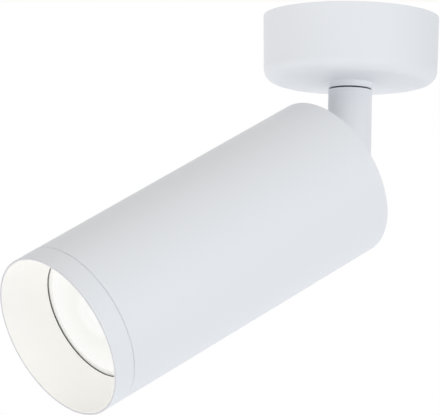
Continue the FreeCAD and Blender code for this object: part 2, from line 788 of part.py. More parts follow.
def rear_lug():
    """Cast lug: a round foot on the cap and the tongue that the fork holds."""
    body = new_body("rear_lug", HEAD)
    foot = new_sketch(body, "XY_Plane", "-foot_rise")
    draw_circle(foot, "0", "0", "foot_radius")
    pad(body, foot, "foot_rise + cap_recess")
    neck = new_sketch(body, "XZ_Plane")
    draw_box(neck, "-tongue_radius", "-pivot_setback", "tongue_radius", "0")
    pad(body, neck, "2 * tongue_half", both_ways=True)
    knuckle = new_sketch(body, "XZ_Plane")
    draw_circle(knuckle, "0", "-pivot_setback", "tongue_radius")
    pad(body, knuckle, "2 * tongue_half", both_ways=True)
    rise = -SIZE["foot_rise"]
    fillet(body, "tongue_fillet", lambda edge: is_root(edge, rise, SIZE["tongue_half"]))
    fillet(body, "tongue_fillet", lambda edge: is_rim(edge, SIZE["foot_radius"], rise))
    drill(body, "XZ_Plane", [("0", "-pivot_setback", "pivot_radius + pivot_gap")], both_ways=True)
    drill(body, "XY_Plane", [("wire_offset", "0", "wire_radius")], both_ways=True)
    screw_holes = [("0", "lug_screw_offset", "screw_radius"), ("0", "-lug_screw_offset", "screw_radius")]
    drill(body, "XY_Plane", screw_holes, depth="cap_recess + foot_rise / 2", offset="cap_recess")
    return keep(body)


def is_root(edge, height, half):
    """True for the two long straight edges where the tongue stands on its foot."""
    if not isinstance(edge.Curve, Part.Line):
        return False
    middle = edge.CenterOfMass
    return same(middle.z, height) and same(abs(middle.y), half) and same(middle.x, 0)


def lug_screws():
    screws = []
    for i, side in enumerate(("", "-")):
        place = f"{HEAD} * " + frame(y=f"{side}lug_screw_offset")
        top = CAP_FACE + " + screw_head_height"
        one = screw(f"lug_screw_{i}", place, "screw_radius", "screw_head", CAP_FACE, "-foot_rise / 2", top)
        screws.append(one)
    return group("lug_screws", screws)


def cable_bush():
    place = f"{HEAD} * " + frame(x="wire_offset")
    outline = [
        ("wire_radius", "cap_recess"),
        ("bush_radius", "cap_recess"),
        ("bush_radius", CAP_FACE),
        ("bush_flange", CAP_FACE),
        ("bush_flange - bush_bevel", CAP_FACE + " + bush_flange_thick"),
        ("wire_radius", CAP_FACE + " + bush_flange_thick"),
    ]
    return keep(turned("cable_bush", place, outline))


def holder_bracket():
    """Hat-shaped strip: two feet on the cap, two legs and a seat for the lampholder."""
    body = new_body("holder_bracket", HEAD)
    sheet, leg, foot = "bracket_sheet", "bracket_leg", "bracket_foot"
    low, seat = CAP_FACE, "holder_seat"
    right = [
        (foot, low),
        (foot, f"{low} + {sheet}"),
        (f"{leg} + {sheet}", f"{low} + {sheet}"),
        (f"{leg} + {sheet}", seat),
    ]
    inside = [("-" + leg, low), ("-" + leg, f"{seat} - {sheet}"), (leg, f"{seat} - {sheet}"), (leg, low)]
    left = [(f"-({across})", up) for across, up in reversed(right)]
    strip = new_sketch(body, "XZ_Plane")
    draw_outline(strip, right + left + inside)
    pad(body, strip, "2 * bracket_half", both_ways=True)
    fillet(body, "bracket_bend", lambda edge: is_strip_bend(edge, inner=True))
    fillet(body, "bracket_bend + bracket_sheet", lambda edge: is_strip_bend(edge, inner=False))
    feet = [("bracket_screw", "0", "screw_radius"), ("-bracket_screw", "0", "screw_radius")]
    drill(body, "XY_Plane", feet, depth="holder_seat / 2", upward=True)
    seat_holes = [
        ("0", "0", "bracket_window"),
        ("holder_screw", "0", "screw_radius"),
        ("-holder_screw", "0", "screw_radius"),
    ]
    drill(body, "XY_Plane", seat_holes, depth="holder_seat / 2", offset="holder_seat")
    return keep(body)


def is_strip_bend(edge, inner):
    """True for the bracket's edges on the inner or the outer side of its four bends."""
    if not isinstance(edge.Curve, Part.Line) or not same(edge.CenterOfMass.y, 0):
        return False
    leg, sheet = SIZE["bracket_leg"], SIZE["bracket_sheet"]
    face, seat = SIZE["cap_recess"] + SIZE["cap_thick"], SIZE["holder_seat"]
    if inner:
        wanted = [(leg, seat - sheet), (leg + sheet, face + sheet)]
    else:
        wanted = [(leg + sheet, seat), (leg, face)]
    place = edge.CenterOfMass
    return any(same(abs(place.x), x) and same(place.z, z) for x, z in wanted)


def bracket_screws():
    screws = []
    seat = CAP_FACE + " + bracket_sheet"
    for i, side in enumerate(("", "-")):
        place = f"{HEAD} * " + frame(x=f"{side}bracket_screw")
        name, top = f"bracket_screw_{i}", seat + " + screw_head_height"
        screws.append(screw(name, place, "screw_radius", "screw_head", seat, "cap_recess", top))
    return group("bracket_screws", screws)


HOLDER_FACE = "holder_seat + holder_height"


def lampholder():
    """Ceramic twist-lock holder: pins go in at the round ends and turn under the face along curved slots."""
    body = new_body("lampholder", HEAD)
    block = new_sketch(body, "XY_Plane", "holder_seat")
    wide, deep = "holder_half_width", "holder_half_depth"
    draw_box(block, "-" + wide, "-" + deep, wide, deep)
    pad(body, block, "holder_height")
    corner = (SIZE["holder_half_width"], SIZE["holder_half_depth"])
    fillet(body, "holder_corner", lambda edge: is_upright(edge, corner))
    face = SIZE["holder_seat"] + SIZE["holder_height"]
    chamfer(body, "holder_bevel", lambda edge: same(edge.BoundBox.ZMin, face))
    floor, roof = f"{HOLDER_FACE} - chamber_depth", f"{HOLDER_FACE} - lock_plate"
    slot = curved_slot(body, "neck_slot", roof, HOLDER_FACE)
    chamber = curved_slot(body, "head_slot", floor, roof)
    neck_hole = [("pin_circle", "0", "neck_slot")]
    slot_end = drill(body, "XY_Plane", neck_hole, depth="lock_plate", offset=HOLDER_FACE)
    depth = "chamber_depth - lock_plate"
    chamber_end = drill(body, "XY_Plane", [("pin_circle", "0", "head_slot")], depth=depth, offset=roof)
    released = ("pin_circle * cos(lamp_turn * 1 deg)", "pin_circle * sin(lamp_turn * 1 deg)", "head_slot")
    way_in = drill(body, "XY_Plane", [released], depth="chamber_depth", offset=HOLDER_FACE)
    repeat_round(body, [slot, chamber, slot_end, chamber_end, way_in], 2)
    screw_holes = [("holder_screw", "0", "screw_radius"), ("-holder_screw", "0", "screw_radius")]
    drill(body, "XY_Plane", screw_holes, offset=HOLDER_FACE)
    wells = [("holder_screw", "0", "holder_well"), ("-holder_screw", "0", "holder_well")]
    drill(body, "XY_Plane", wells, depth="holder_well_depth", offset=HOLDER_FACE)
    wire_holes = [("0", "pin_circle", "wire_radius"), ("0", "-pin_circle", "wire_radius")]
    drill(body, "XY_Plane", wire_holes, depth="holder_height / 3", offset="holder_seat", upward=True)
    return keep(body)


def curved_slot(body, half, low, high):
    """Cut the way of a lamp pin: along the pin circle, through the lamp's turn, between two heights."""
    near, far = f"pin_circle - {half}", f"pin_circle + {half}"
    return sector_groove(body, [(near, low), (far, low), (far, high), (near, high)], "lamp_turn")


def is_upright(edge, corner):
    """True for the straight edges parallel to Z at the four corners."""
    if not isinstance(edge.Curve, Part.Line):
        return False
    middle = edge.CenterOfMass
    return same(abs(middle.x), corner[0]) and same(abs(middle.y), corner[1])


def lampholder_screws():
    screws = []
    seat = HOLDER_FACE + " - holder_well_depth"
    for i, side in enumerate(("", "-")):
        place = f"{HEAD} * " + frame(x=f"{side}holder_screw")
        tip, top = "holder_seat - 2 * bracket_sheet", seat + " + screw_head_height"
        screws.append(screw(f"holder_screw_{i}", place, "screw_radius", "screw_head", seat, tip, top))
    return group("lampholder_screws", screws)


def lampholder_contacts():
    floor = f"{HOLDER_FACE} - chamber_depth"
    discs = []
    for i, side in enumerate(("", "-")):
        place = f"{HEAD} * " + frame(x=f"{side}pin_circle")
        discs.append(ring(f"contact_{i}", place, "0", "contact_radius", floor, floor + " + contact_thick"))
    return group("lampholder_contacts", discs)


# ---------------------------------------------------------------- the lamp


def lamp_base():
    """The lamp's moulded base: a flange under the bell and the neck that carries the pins."""
    flange = "base_height - base_flange_height"
    outline = [("0", "0"), ("base_radius", "0"), ("base_radius", flange), ("base_flange", flange)]
    outline += [("base_flange", "base_height"), ("0", "base_height")]
    body = turned("lamp_base", LAMP, outline)
    chamfer(body, "base_bevel", lambda edge: is_rim(edge, SIZE["base_radius"], 0.0))
    return keep(body)


def lamp_pins():
    pins = []
    shoulder = "-pin_length + pin_head_height"
    for i, side in enumerate(("", "-")):
        place = f"{LAMP} * " + frame(x=f"{side}pin_circle")
        outline = [("0", "-pin_length"), ("pin_head", "-pin_length"), ("pin_head", shoulder)]
        outline += [("pin_neck", shoulder), ("pin_neck", "0"), ("0", "0")]
        pins.append(turned(f"lamp_pin_{i}", place, outline))
    return group("lamp_pins", pins)


BELL_TOP = "base_height + bell_height"


def lamp_shell():
    """Bell-shaped shell from the base's flange to the bezel."""
    foot, shoulder = "base_height", "base_height + bell_foot_height"
    straight = BELL_TOP + " - bezel_height"
    outline = [
        ("base_flange - bell_wall", foot),
        ("base_flange", foot),
        ("bell_foot", shoulder),
        ("bell_rim", straight),
        ("bell_rim", BELL_TOP),
        ("bell_rim - bell_wall", BELL_TOP),
        ("bell_rim - bell_wall", straight + " + bell_offset"),
        ("bell_foot - bell_wall", shoulder + " + bell_offset"),
    ]
    body = turned("lamp_shell", LAMP, outline)
    low = SIZE["base_height"] + SIZE["bell_foot_height"]
    high = SIZE["base_height"] + SIZE["bell_height"] - SIZE["bezel_height"]
    fillet(body, "bell_foot", lambda edge: is_rim(edge, SIZE["bell_foot"], low))
    fillet(body, "base_radius", lambda edge: is_rim(edge, SIZE["bell_rim"], high))
    return keep(body)


LAMP_FACE = "head_length - lamp_face - holder_seat - holder_height - lamp_gap"


def lamp_bezel():
    """Front rim of the lamp: a ring whose lip holds the lens."""
    face = LAMP_FACE
    lip = f"{face} - bezel_lip"
    outline = [
        ("bezel_inner", lip),
        ("bezel_inner + bezel_lip / 2", face),
        ("lamp_radius", face),
        ("lamp_radius", BELL_TOP),
        ("lens_seat", BELL_TOP),
        ("lens_seat", lip),
    ]
    return keep(turned("lamp_bezel", LAMP, outline))


def lamp_lens():
    """Diffusing lens: a disc whose edge sits under the bezel's lip, with a low step in its face."""
    lip = f"{LAMP_FACE} - bezel_lip"
    outline = [("0", lip + " - lens_thick"), ("lens_seat", lip + " - lens_thick"), ("lens_seat", lip)]
    face = f"{LAMP_FACE} - lens_recess"
    outline += [("bezel_inner - lens_gap", lip), ("bezel_inner - lens_gap - lens_slope", face), ("0", face)]
    return keep(turned("lamp_lens", LAMP, outline))


BOARD_TOP = "base_height + board_height"


def led_board():
    return keep(ring("led_board", LAMP, "0", "board_radius", BOARD_TOP + " - board_thick", BOARD_TOP))


def led_chips():
    """Seven square light sources: one in the middle and six round it."""
    chips = []
    for i in range(HEXAGON + 1):
        reach = "0" if i == HEXAGON else "chip_circle"
        turn = frame(about=UPRIGHT, angle=f"{SIXTH * i}")
        body = new_body(f"chip_{i}", f"{LAMP} * {turn} * " + frame(x=reach))
        sketch = new_sketch(body, "XY_Plane", BOARD_TOP)
        draw_box(sketch, "-chip_half", "-chip_half", "chip_half", "chip_half")
        pad(body, sketch, "chip_height")
        chips.append(body)
    return group("led_chips", chips)


# ---------------------------------------------------------------- the front ring


def cone_depth(radius):
    """Depth behind the front edge at which the outside of the baffle's cone has that radius."""
    slope = "(throat_depth - lip_recess) / (mouth_radius - throat_radius)"
    return f"lip_recess + (mouth_radius + baffle_wall - ({radius})) * {slope}"


MOUTH_BORE = "head_radius - rim_width"


def front_ring():
    """Turned ring: a thin front edge, a conical seat for the baffle and the threaded spigot."""
    end = "ring_depth + spigot_length"
    outline = [
        (MOUTH_BORE, "0"),
        ("head_radius", "0"),
        ("head_radius", "ring_depth"),
        ("spigot_radius", "ring_depth"),
        ("spigot_radius", end),
        ("spigot_bore", end),
        ("spigot_bore", cone_depth("spigot_bore")),
        (MOUTH_BORE, cone_depth(MOUTH_BORE)),
    ]
    body = turned("front_ring", FRONT, outline)
    outer = SIZE["head_radius"]
    fillet(body, "edge_round", lambda edge: is_rim(edge, outer, 0.0))
    chamfer(body, "seam_bevel", lambda edge: is_rim(edge, outer, SIZE["ring_depth"]))
    return keep(body)


def glare_baffle():
    """Conical insert from the mouth down to the lamp, with a flange that fits the spigot's bore."""
    flange = "throat_depth - flange_thick"
    slope = "(mouth_radius - throat_radius) / (throat_depth - lip_recess)"
    outline = [
        ("mouth_radius", "lip_recess"),
        (MOUTH_BORE, "lip_recess"),
        (MOUTH_BORE, cone_depth(MOUTH_BORE)),
        (f"throat_radius + baffle_wall + flange_thick * {slope}", flange),
        ("spigot_bore", flange),
        ("spigot_bore", "throat_depth"),
        ("throat_radius", "throat_depth"),
    ]
    return keep(turned("glare_baffle", FRONT, outline))


def lamp_gasket():
    """Dark silicone ring that rides behind the baffle, just clear of it and of the lamp's face."""
    start = "throat_depth + gasket_gap"
    return keep(ring("lamp_gasket", FRONT, "gasket_inner", "gasket_outer", start, start + " + gasket_thick"))


# ---------------------------------------------------------------- everything together


def build_all():
    fill_sheet()
    mounting_plate()
    canopy_cup()
    canopy_grub_screws()
    terminal_block()
    terminal_inserts()
    terminal_screws()
    terminal_block_screw()
    plate_spot = frame(x="-earth_across", y="earth_along", z="plate_thick")
    earth_terminal("earth_washer", "earth_screw", f"{PLATE} * {plate_spot}")
    swivel_collar()
    floor_washer()
    stop_pin()
    stem_fork()
    swivel_washer()
    threaded_nipple()
    spring_washer()
    stop_washer()
    nipple_nut()
    pivot_screw()
    pivot_nut()
    friction_washers()
    tube_housing()
    rear_cap()
    rear_lug()
    lug_screws()
    cable_bush()
    holder_bracket()
    bracket_screws()
    lampholder()
    lampholder_screws()
    lampholder_contacts()
    cap_spot = frame(y="cap_earth", z=CAP_FACE)
    earth_terminal("head_earth_washer", "head_earth_screw", f"{HEAD} * {cap_spot}")
    lamp_base()
    lamp_pins()
    lamp_shell()
    lamp_bezel()
    lamp_lens()
    led_board()
    led_chips()
    front_ring()
    glare_baffle()
    lamp_gasket()
    DOC.recompute()


def check_and_write():
    """Stop on any failed object or bad shape, then write each sub-part to its own file."""
    broken = [item.Label for item in DOC.Objects if {"Invalid", "Error"} & set(item.State)]
    if broken:
        raise ValueError(f"objects that failed: {broken}")
    for item in SUBPARTS:
        if item.Shape.isNull() or not item.Shape.isValid() or not item.Shape.Solids:
            raise ValueError(f"bad shape: {item.Label}")
    os.makedirs("parts", exist_ok=True)
    for item in SUBPARTS:
        item.Shape.exportStep(f"parts/{item.Label}.step")
        print(f"{item.Label}: {len(item.Shape.Solids)} solid(s), {item.Shape.Volume:.1f} mm3")
    print(len(SUBPARTS), "sub-parts")


build_all()
check_and_write()
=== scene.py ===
# %% [markdown]
# # A ceiling spotlight with a tilting head
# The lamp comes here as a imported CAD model: every sheet, screw and washer is already in its place.
# This file gives it what a camera sees. It adds the photograph's viewpoint, the light of a small
# studio, and a finish for each material. It also adds the fine shapes that CAD left plain: screw
# drives, threads and the lens's rings.

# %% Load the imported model
import json
import math

import bmesh
import bpy
from mathutils import Matrix, Vector


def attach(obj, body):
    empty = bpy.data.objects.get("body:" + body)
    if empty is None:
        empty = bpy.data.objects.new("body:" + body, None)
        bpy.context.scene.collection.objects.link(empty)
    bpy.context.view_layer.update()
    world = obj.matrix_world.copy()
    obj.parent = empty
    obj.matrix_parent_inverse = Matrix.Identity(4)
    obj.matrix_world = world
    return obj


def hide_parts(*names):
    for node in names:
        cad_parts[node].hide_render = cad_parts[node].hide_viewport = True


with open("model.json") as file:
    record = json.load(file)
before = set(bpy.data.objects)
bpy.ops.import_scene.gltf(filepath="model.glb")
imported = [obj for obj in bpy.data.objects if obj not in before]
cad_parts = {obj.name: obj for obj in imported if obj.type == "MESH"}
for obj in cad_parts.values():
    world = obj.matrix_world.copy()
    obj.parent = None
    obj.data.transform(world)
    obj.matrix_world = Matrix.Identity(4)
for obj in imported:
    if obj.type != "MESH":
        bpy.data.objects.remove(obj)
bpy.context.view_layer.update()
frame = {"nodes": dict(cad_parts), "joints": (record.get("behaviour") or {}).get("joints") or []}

# %% [markdown]
# ## Where things are
# The joints of the record say where the head tilts and which way the tube points. From those two
# facts comes the head's own frame: Z runs forward along the tube from its rear edge, and Y is the
# tilt axis. The frames of the ring and the canopy are turned over, so that Z is a depth: behind the
# ring's front edge, or below the ceiling. A piece is then modelled upright in one of these frames and
# put in its place with one matrix.

# %% Frames of the head, the front ring and the canopy
MM = 0.001
JOINTS = {joint["name"]: joint for joint in frame["joints"]}
PIVOT = Vector(JOINTS["tilt"]["pos_m"])
FORWARD = Vector(JOINTS["ring_travel"]["axis"]).normalized()
TILT_AXIS = Vector((0, 1, 0))
SETBACK = 10.5 * MM  # tilt axis to the tube's rear edge
TUBE_LENGTH = 131.8 * MM  # rear edge to the front edge of the ring
CANOPY_TURN = math.radians(34)


def frame_matrix(origin, x_axis, z_axis):
    """A matrix that carries a piece modelled upright at the origin to its place."""
    y_axis = z_axis.cross(x_axis)
    return Matrix.Translation(origin) @ Matrix((x_axis, y_axis, z_axis)).transposed().to_4x4()


HEAD = frame_matrix(PIVOT + FORWARD * SETBACK, TILT_AXIS.cross(FORWARD), FORWARD)
HALF_TURN = Matrix.Rotation(math.pi, 4, "X")
FRONT = HEAD @ Matrix.Translation((0, 0, TUBE_LENGTH)) @ HALF_TURN
CEILING = HALF_TURN
PLATE = CEILING @ Matrix.Rotation(CANOPY_TURN, 4, "Z")
print("pivot", tuple(PIVOT), "forward", tuple(round(v, 4) for v in FORWARD))

# %% [markdown]
# ## The camera
# The photograph was taken from the front left and a little below, with a long lens, so the tube
# hardly tapers. These numbers come from a fit of the drawn edges to those in the picture. A camera in
# Blender looks along its own -Z with +Y up, so its matrix is built from the three directions right,
# up and back.

# %% Camera
AZIMUTH, ELEVATION, ROLL = (math.radians(v) for v in (-34.29, -7.402, 1.152))
DISTANCE = 1313.7 * MM
AIM_RIGHT, AIM_UP = -48.196 * MM, -69.829 * MM
IMAGE_WIDTH = 440
FOCAL_PIXELS = 3578.6
SENSOR = 36.0

back = Vector((
    math.sin(AZIMUTH) * math.cos(ELEVATION),
    -math.cos(AZIMUTH) * math.cos(ELEVATION),
    math.sin(ELEVATION),
))
level_right = (-back).cross(Vector((0, 0, 1))).normalized()
level_up = level_right.cross(-back)
right = level_right * math.cos(ROLL) + level_up * math.sin(ROLL)
up = level_up * math.cos(ROLL) - level_right * math.sin(ROLL)

camera = bpy.data.objects.new("camera", bpy.data.cameras.new("camera"))
camera.data.sensor_width = SENSOR
camera.data.lens = FOCAL_PIXELS * SENSOR / IMAGE_WIDTH
camera.data.clip_end = 50
axes = Matrix((right, up, back)).transposed().to_4x4()
camera.matrix_world = Matrix.Translation(right * AIM_RIGHT + up * AIM_UP + back * DISTANCE) @ axes
bpy.context.scene.collection.objects.link(camera)
bpy.context.scene.camera = camera
print("camera at", tuple(round(v, 3) for v in camera.location), "lens", round(camera.data.lens, 1), "mm")

# %% [markdown]
# ## Node trees as sums
# A material is a small program made of nodes. Wiring each Math node by hand is slow to read, so one
# class wraps a socket and turns `1 - mask * 0.2` into the nodes for it. Every other node is made by a
# single method that takes its kind, its settings and what goes into its sockets. Geometry trees are
# made with the same two tools.

# %% Socket sums and the node maker


class Wire:
    """An output socket that can be added, multiplied and so on."""

    def __init__(self, graph, socket):
        self.graph = graph
        self.socket = socket

    def other(self, name):
        """Another output of the same node."""
        return Wire(self.graph, self.socket.node.outputs[name])

    def math(self, operation, *values):
        return self.graph.math(operation, self, *values)

    def __add__(self, value):
        return self.math("ADD", value)

    def __sub__(self, value):
        return self.math("SUBTRACT", value)

    def __mul__(self, value):
        return self.math("MULTIPLY", value)

    def __truediv__(self, value):
        return self.math("DIVIDE", value)

    def __rsub__(self, value):
        return self.graph.math("SUBTRACT", value, self)


class Graph:
    """A node tree and the one method that adds nodes to it."""

    def __init__(self, tree):
        self.tree = tree

    def node(self, kind, settings=None, inputs=None, output=0):
        """Add a node, fill in its settings and inputs, and hand back one of its outputs."""
        made = self.tree.nodes.new(kind)
        for name, value in (settings or {}).items():
            if name == "stops":
                self.set_stops(made.color_ramp, value)
            else:
                setattr(made, name, value)
        for key, value in (inputs or {}).items():
            if isinstance(value, Wire):
                self.tree.links.new(value.socket, made.inputs[key])
            else:
                made.inputs[key].default_value = value
        return Wire(self, made.outputs[output]) if made.outputs else made

    def set_stops(self, ramp, stops):
        """Give a colour ramp its stops: pairs of a position and a colour."""
        while len(ramp.elements) < len(stops):
            ramp.elements.new(1.0)
        for element, (position, colour) in zip(ramp.elements, stops):
            element.position = position
            element.color = (*colour, 1.0)

    def math(self, operation, *values):
        return self.node("ShaderNodeMath", {"operation": operation}, dict(enumerate(values)))

    def vector_math(self, operation, *values, output="Vector"):
        settings = {"operation": operation}
        return self.node("ShaderNodeVectorMath", settings, dict(enumerate(values)), output)

    def mix(self, factor, first, second):
        """Two colours mixed by a factor."""
        return self.node("ShaderNodeMix", {"data_type": "RGBA"}, {0: factor, 6: first, 7: second}, 2)

    def ramp(self, factor, stops):
        return self.node("ShaderNodeValToRGB", {"stops": stops}, {"Fac": factor})


print("node tools ready")

# %% [markdown]
# ## A recipe for a surface
# Real surfaces are never one flat colour. Each finish here starts from the same recipe: a base colour
# that drifts slightly over centimetres, a roughness that drifts with it, and a fine relief at the
# scale that the process leaves, such as the orange peel of powder coat or the grain of a sandblasted
# mould. The patterns read Object coordinates in metres, so a scale of 1000 has features of about a
# millimetre on every piece alike.

# %% The surface recipe


def colour(*rgb):
    return (*rgb, 1.0)


class Finish(Graph):
    """A material whose colour, roughness and relief are filled in step by step."""

    def __init__(self, name, base, roughness, metallic=0.0):
        self.material = bpy.data.materials.new(name)
        self.material.use_nodes = True
        super().__init__(self.material.node_tree)
        self.shader = self.tree.nodes["Principled BSDF"]
        self.base, self.roughness = base, roughness
        self.set("Base Color", colour(*base))
        self.set("Roughness", roughness)
        self.set("Metallic", metallic)
        self.place = self.node("ShaderNodeTexCoord", output="Object")

    def set(self, socket, value):
        """Put a constant or a link on a socket of the shader."""
        if isinstance(value, Wire):
            self.tree.links.new(value.socket, self.shader.inputs[socket])
        else:
            self.shader.inputs[socket].default_value = value
        return self

    def noise(self, scale, detail=2.0, roughness=0.5, place=None):
        """A cloudy value between 0 and 1."""
        inputs = {"Vector": place or self.place, "Scale": scale, "Detail": detail, "Roughness": roughness}
        return self.node("ShaderNodeTexNoise", None, inputs)

    def drift(self, scale, amount, rough):
        """Let colour and roughness wander over centimetres."""
        cloud = self.noise(scale, 3.0)
        dark = [c * (1 - amount) for c in self.base]
        light = [min(1.0, c * (1 + amount)) for c in self.base]
        self.set("Base Color", self.mix(cloud, colour(*dark), colour(*light)))
        self.set("Roughness", cloud * (2 * rough) + (self.roughness - rough))
        return self

    def relief(self, height, strength, distance):
        """Turn a height pattern into shading through the Normal socket."""
        inputs = {"Height": height, "Strength": strength, "Distance": distance}
        self.set("Normal", self.node("ShaderNodeBump", None, inputs))
        return self

    def grain(self, scale, strength, distance):
        return self.relief(self.noise(scale, 4.0, 0.6), strength, distance)

    def brushed(self, along):
        """Fine scratches: noise squeezed across the direction of the brush."""
        stretched = self.vector_math("MULTIPLY", self.place, along)
        return self.relief(self.noise(2600.0, 3.0, 0.6, stretched), 0.25, 0.02 * MM)


print("surface recipe ready")

# %% [markdown]
# ## White powder coat
# The canopy, stem, tube and ring are sprayed with white powder that melts into a satin skin about
# 0.08 mm thick. It levels almost flat, and what is left is a faint orange peel of a millimetre or so.
# The colour is a cool white that never reaches pure white. The ring and the tube are coated apart, so
# each has a material of its own from the same recipe. The ring's front edge, which the photograph
# shows as a thin grey line round the mouth, gets a greyer colour that is painted shade, chosen by how
# far a point lies behind the mouth.

# %% Coated metal
COAT_WHITE = (0.790, 0.806, 0.832)
# The greyer colour of the ring's front edge is painted shade.
RIM_SHADE = (0.625, 0.610, 0.640)
RIM_SHADE_DEPTH = 0.15  # of the front edge that gets the painted shade, in millimetres


def powder_coat(name):
    """Satin paint with a slow and a fine wave in its skin."""
    coat = Finish(name, COAT_WHITE, 0.46)
    coat.drift(scale=30.0, amount=0.006, rough=0.03)
    wave = coat.noise(900.0, 1.5, 0.4) * 0.7 + coat.noise(2600.0, 1.0, 0.4) * 0.3
    return coat.relief(wave, 0.10, 0.04 * MM)


def depth_in_mouth(finish):
    """Distance in millimetres of a surface point behind the front edge of the ring."""
    reach = finish.vector_math("DOT_PRODUCT", finish.place, tuple(FORWARD), output="Value")
    return (FRONT.translation.dot(FORWARD) - reach) / MM


def paint_rim_shade(coat):
    """Paint shade on the ring's front edge with a greyer colour."""
    edge = depth_in_mouth(coat).math("LESS_THAN", RIM_SHADE_DEPTH)
    full = Wire(coat, coat.shader.inputs["Base Color"].links[0].from_socket)
    return coat.set("Base Color", coat.mix(edge, full, colour(*RIM_SHADE)))


WHITE_COAT = powder_coat("white_powder_coat").material
TUBE_COAT = powder_coat("white_powder_coat_tube").material
RING_COAT = paint_rim_shade(powder_coat("white_powder_coat_ring")).material
print("powder coats made")

# %% [markdown]
# ## Baffle, lens and gasket
# The cone in the mouth is moulded in a matte white, eroded in the mould so that it does not glare. Its
# warm, bright tone is partly its own and partly painted light from the lamp. The cone and the lamp's
# rim also get a faint emission, strongest next to the lens: painted light for the lamp's light that
# falls on them. The lens is a milky disc in front of lit diodes: it glows nearly white, with faint
# warm rings where its steps lie. It stays just below white, or the rings would be lost. The gasket is
# dark silicone with the soft bloom of moulded rubber; its near-black colour is painted shade for the
# gap behind the baffle.

# %% Baffle, lens and gasket finishes
LENS_FACE = 114.7  # rear edge of the tube to the lens's face, in millimetres
LENS_CENTRE = HEAD @ Vector((0, 0, LENS_FACE * MM))
LENS_RADIUS = 21.2
LENS_GLOW = 0.815
LAMP_WHITE = (0.91, 0.91, 0.885)
BAFFLE_DEPTH = 16.2
PAINTED_LAMP_LIGHT = (0.068, 0.065, 0.061)  # painted light for the lamp's light on the baffle beside the lens


def baffle_plastic():
    """Matte white, warm partly by painted lamp light, with a painted glow towards the lens."""
    plastic = Finish("baffle_plastic", (0.932, 0.920, 0.886), 0.60)
    plastic.drift(scale=60.0, amount=0.008, rough=0.04)
    share = depth_in_mouth(plastic) / BAFFLE_DEPTH
    plastic.set("Emission Color", plastic.ramp(share, [(0.0, (0.0, 0.0, 0.0)), (1.0, PAINTED_LAMP_LIGHT)]))
    plastic.set("Emission Strength", 1.0)
    return plastic.grain(3200.0, 0.12, 0.03 * MM).material


def moulding(name, base, roughness, grain):
    """Plastic with the grain of its mould."""
    plastic = Finish(name, base, roughness)
    plastic.drift(scale=90.0, amount=0.02, rough=0.05)
    return plastic.grain(grain, 0.15, 0.03 * MM)


def bezel_plastic():
    """The lamp's own plastic, with a faint even glow of painted light."""
    plastic = moulding("bezel_plastic", LAMP_WHITE, 0.34, 2400.0)
    plastic.set("Emission Color", colour(1.0, 0.985, 0.94))
    return plastic.set("Emission Strength", 0.06).material


def radius_from_axis(finish, centre, axis):
    """Distance in millimetres of a surface point from a line."""
    offset = finish.vector_math("SUBTRACT", finish.place, tuple(centre))
    arm = finish.vector_math("CROSS_PRODUCT", offset, tuple(axis))
    return finish.vector_math("LENGTH", arm, output="Value") * (1 / MM)


def glowing_lens():
    """Brightest in the middle and near the rim, with a wide, slightly warmer ring between."""
    lens = Finish("glowing_lens", (0.10, 0.10, 0.098), 0.30)
    share = radius_from_axis(lens, LENS_CENTRE, FORWARD) / LENS_RADIUS
    rings = [
        (0.05, (1.0, 1.0, 1.0)), (0.19, (0.96, 0.96, 0.95)), (0.31, (0.98, 0.98, 0.97)),
        (0.47, (0.91, 0.914, 0.88)), (0.61, (0.93, 0.94, 0.90)), (0.93, (0.99, 0.987, 0.975)),
    ]
    lens.set("Emission Color", lens.ramp(share, rings))
    lens.set("Emission Strength", LENS_GLOW)
    return lens.grain(1800.0, 0.05, 0.02 * MM).material


def rubber(name, base, roughness):
    """Dark silicone, rubber or nylon with a dusty bloom."""
    skin = Finish(name, base, roughness)
    skin.drift(scale=160.0, amount=0.12, rough=0.08)
    return skin.grain(4000.0, 0.18, 0.03 * MM).material


BAFFLE = baffle_plastic()
BEZEL = bezel_plastic()
LENS = glowing_lens()
# The gasket's near-black silicone is painted shade for the gap behind the baffle.
GAP_SHADE_GASKET = rubber("dark_silicone", (0.060, 0.062, 0.064), 0.62)
RUBBER = rubber("black_rubber", (0.020, 0.020, 0.021), 0.70)
NYLON = rubber("black_nylon", (0.022, 0.026, 0.032), 0.50)
print("baffle, bezel, lens and rubbers made")

# %% [markdown]
# ## Bare metals
# Under the canopy nothing is painted. Pressed parts are steel with a bluish zinc plate whose crystals
# give slow cloudy patches. The spring is darker, the lamp's pins are nickel, and the terminals and
# earth screws are brass. Metals get their look from a metallic shader, a drifting roughness and a
# fine directional grain.

# %% Metal finishes


def metal(name, base, roughness, along, amount=0.10):
    """Bare metal with cloudy patches and a grain along one direction."""
    surface = Finish(name, base, roughness, metallic=1.0)
    surface.drift(scale=220.0, amount=amount, rough=0.10)
    return surface.brushed(along).material


ZINC = metal("zinc_plate", (0.58, 0.60, 0.63), 0.36, (1.0, 0.06, 1.0))
SPRING_STEEL = metal("spring_steel", (0.30, 0.31, 0.33), 0.34, (1.0, 1.0, 0.08))
NICKEL = metal("nickel_plate", (0.70, 0.68, 0.64), 0.22, (1.0, 1.0, 0.08), 0.05)
BRASS = metal("brass", (0.76, 0.56, 0.26), 0.30, (1.0, 1.0, 0.08), 0.08)
print("metals made")

# %% [markdown]
# ## Ceramic, mouldings and the lit board
# The lampholder is steatite, a dense off-white ceramic with tiny dark specks. The lamp's shell and
# the terminal block are moulded. The board carries the diodes, each under a drop of yellow phosphor.

# %% Ceramic and plastic finishes


def ceramic():
    """Off-white with dark specks in place of a drifting colour."""
    pale, dark = (0.80, 0.77, 0.70), (0.45, 0.42, 0.37)
    body = Finish("steatite", pale, 0.55)
    body.drift(scale=80.0, amount=0.03, rough=0.08)
    body.set("Base Color", body.ramp(body.noise(1500.0, 2.0), [(0.66, pale), (0.74, dark)]))
    return body.grain(1800.0, 0.30, 0.04 * MM).material


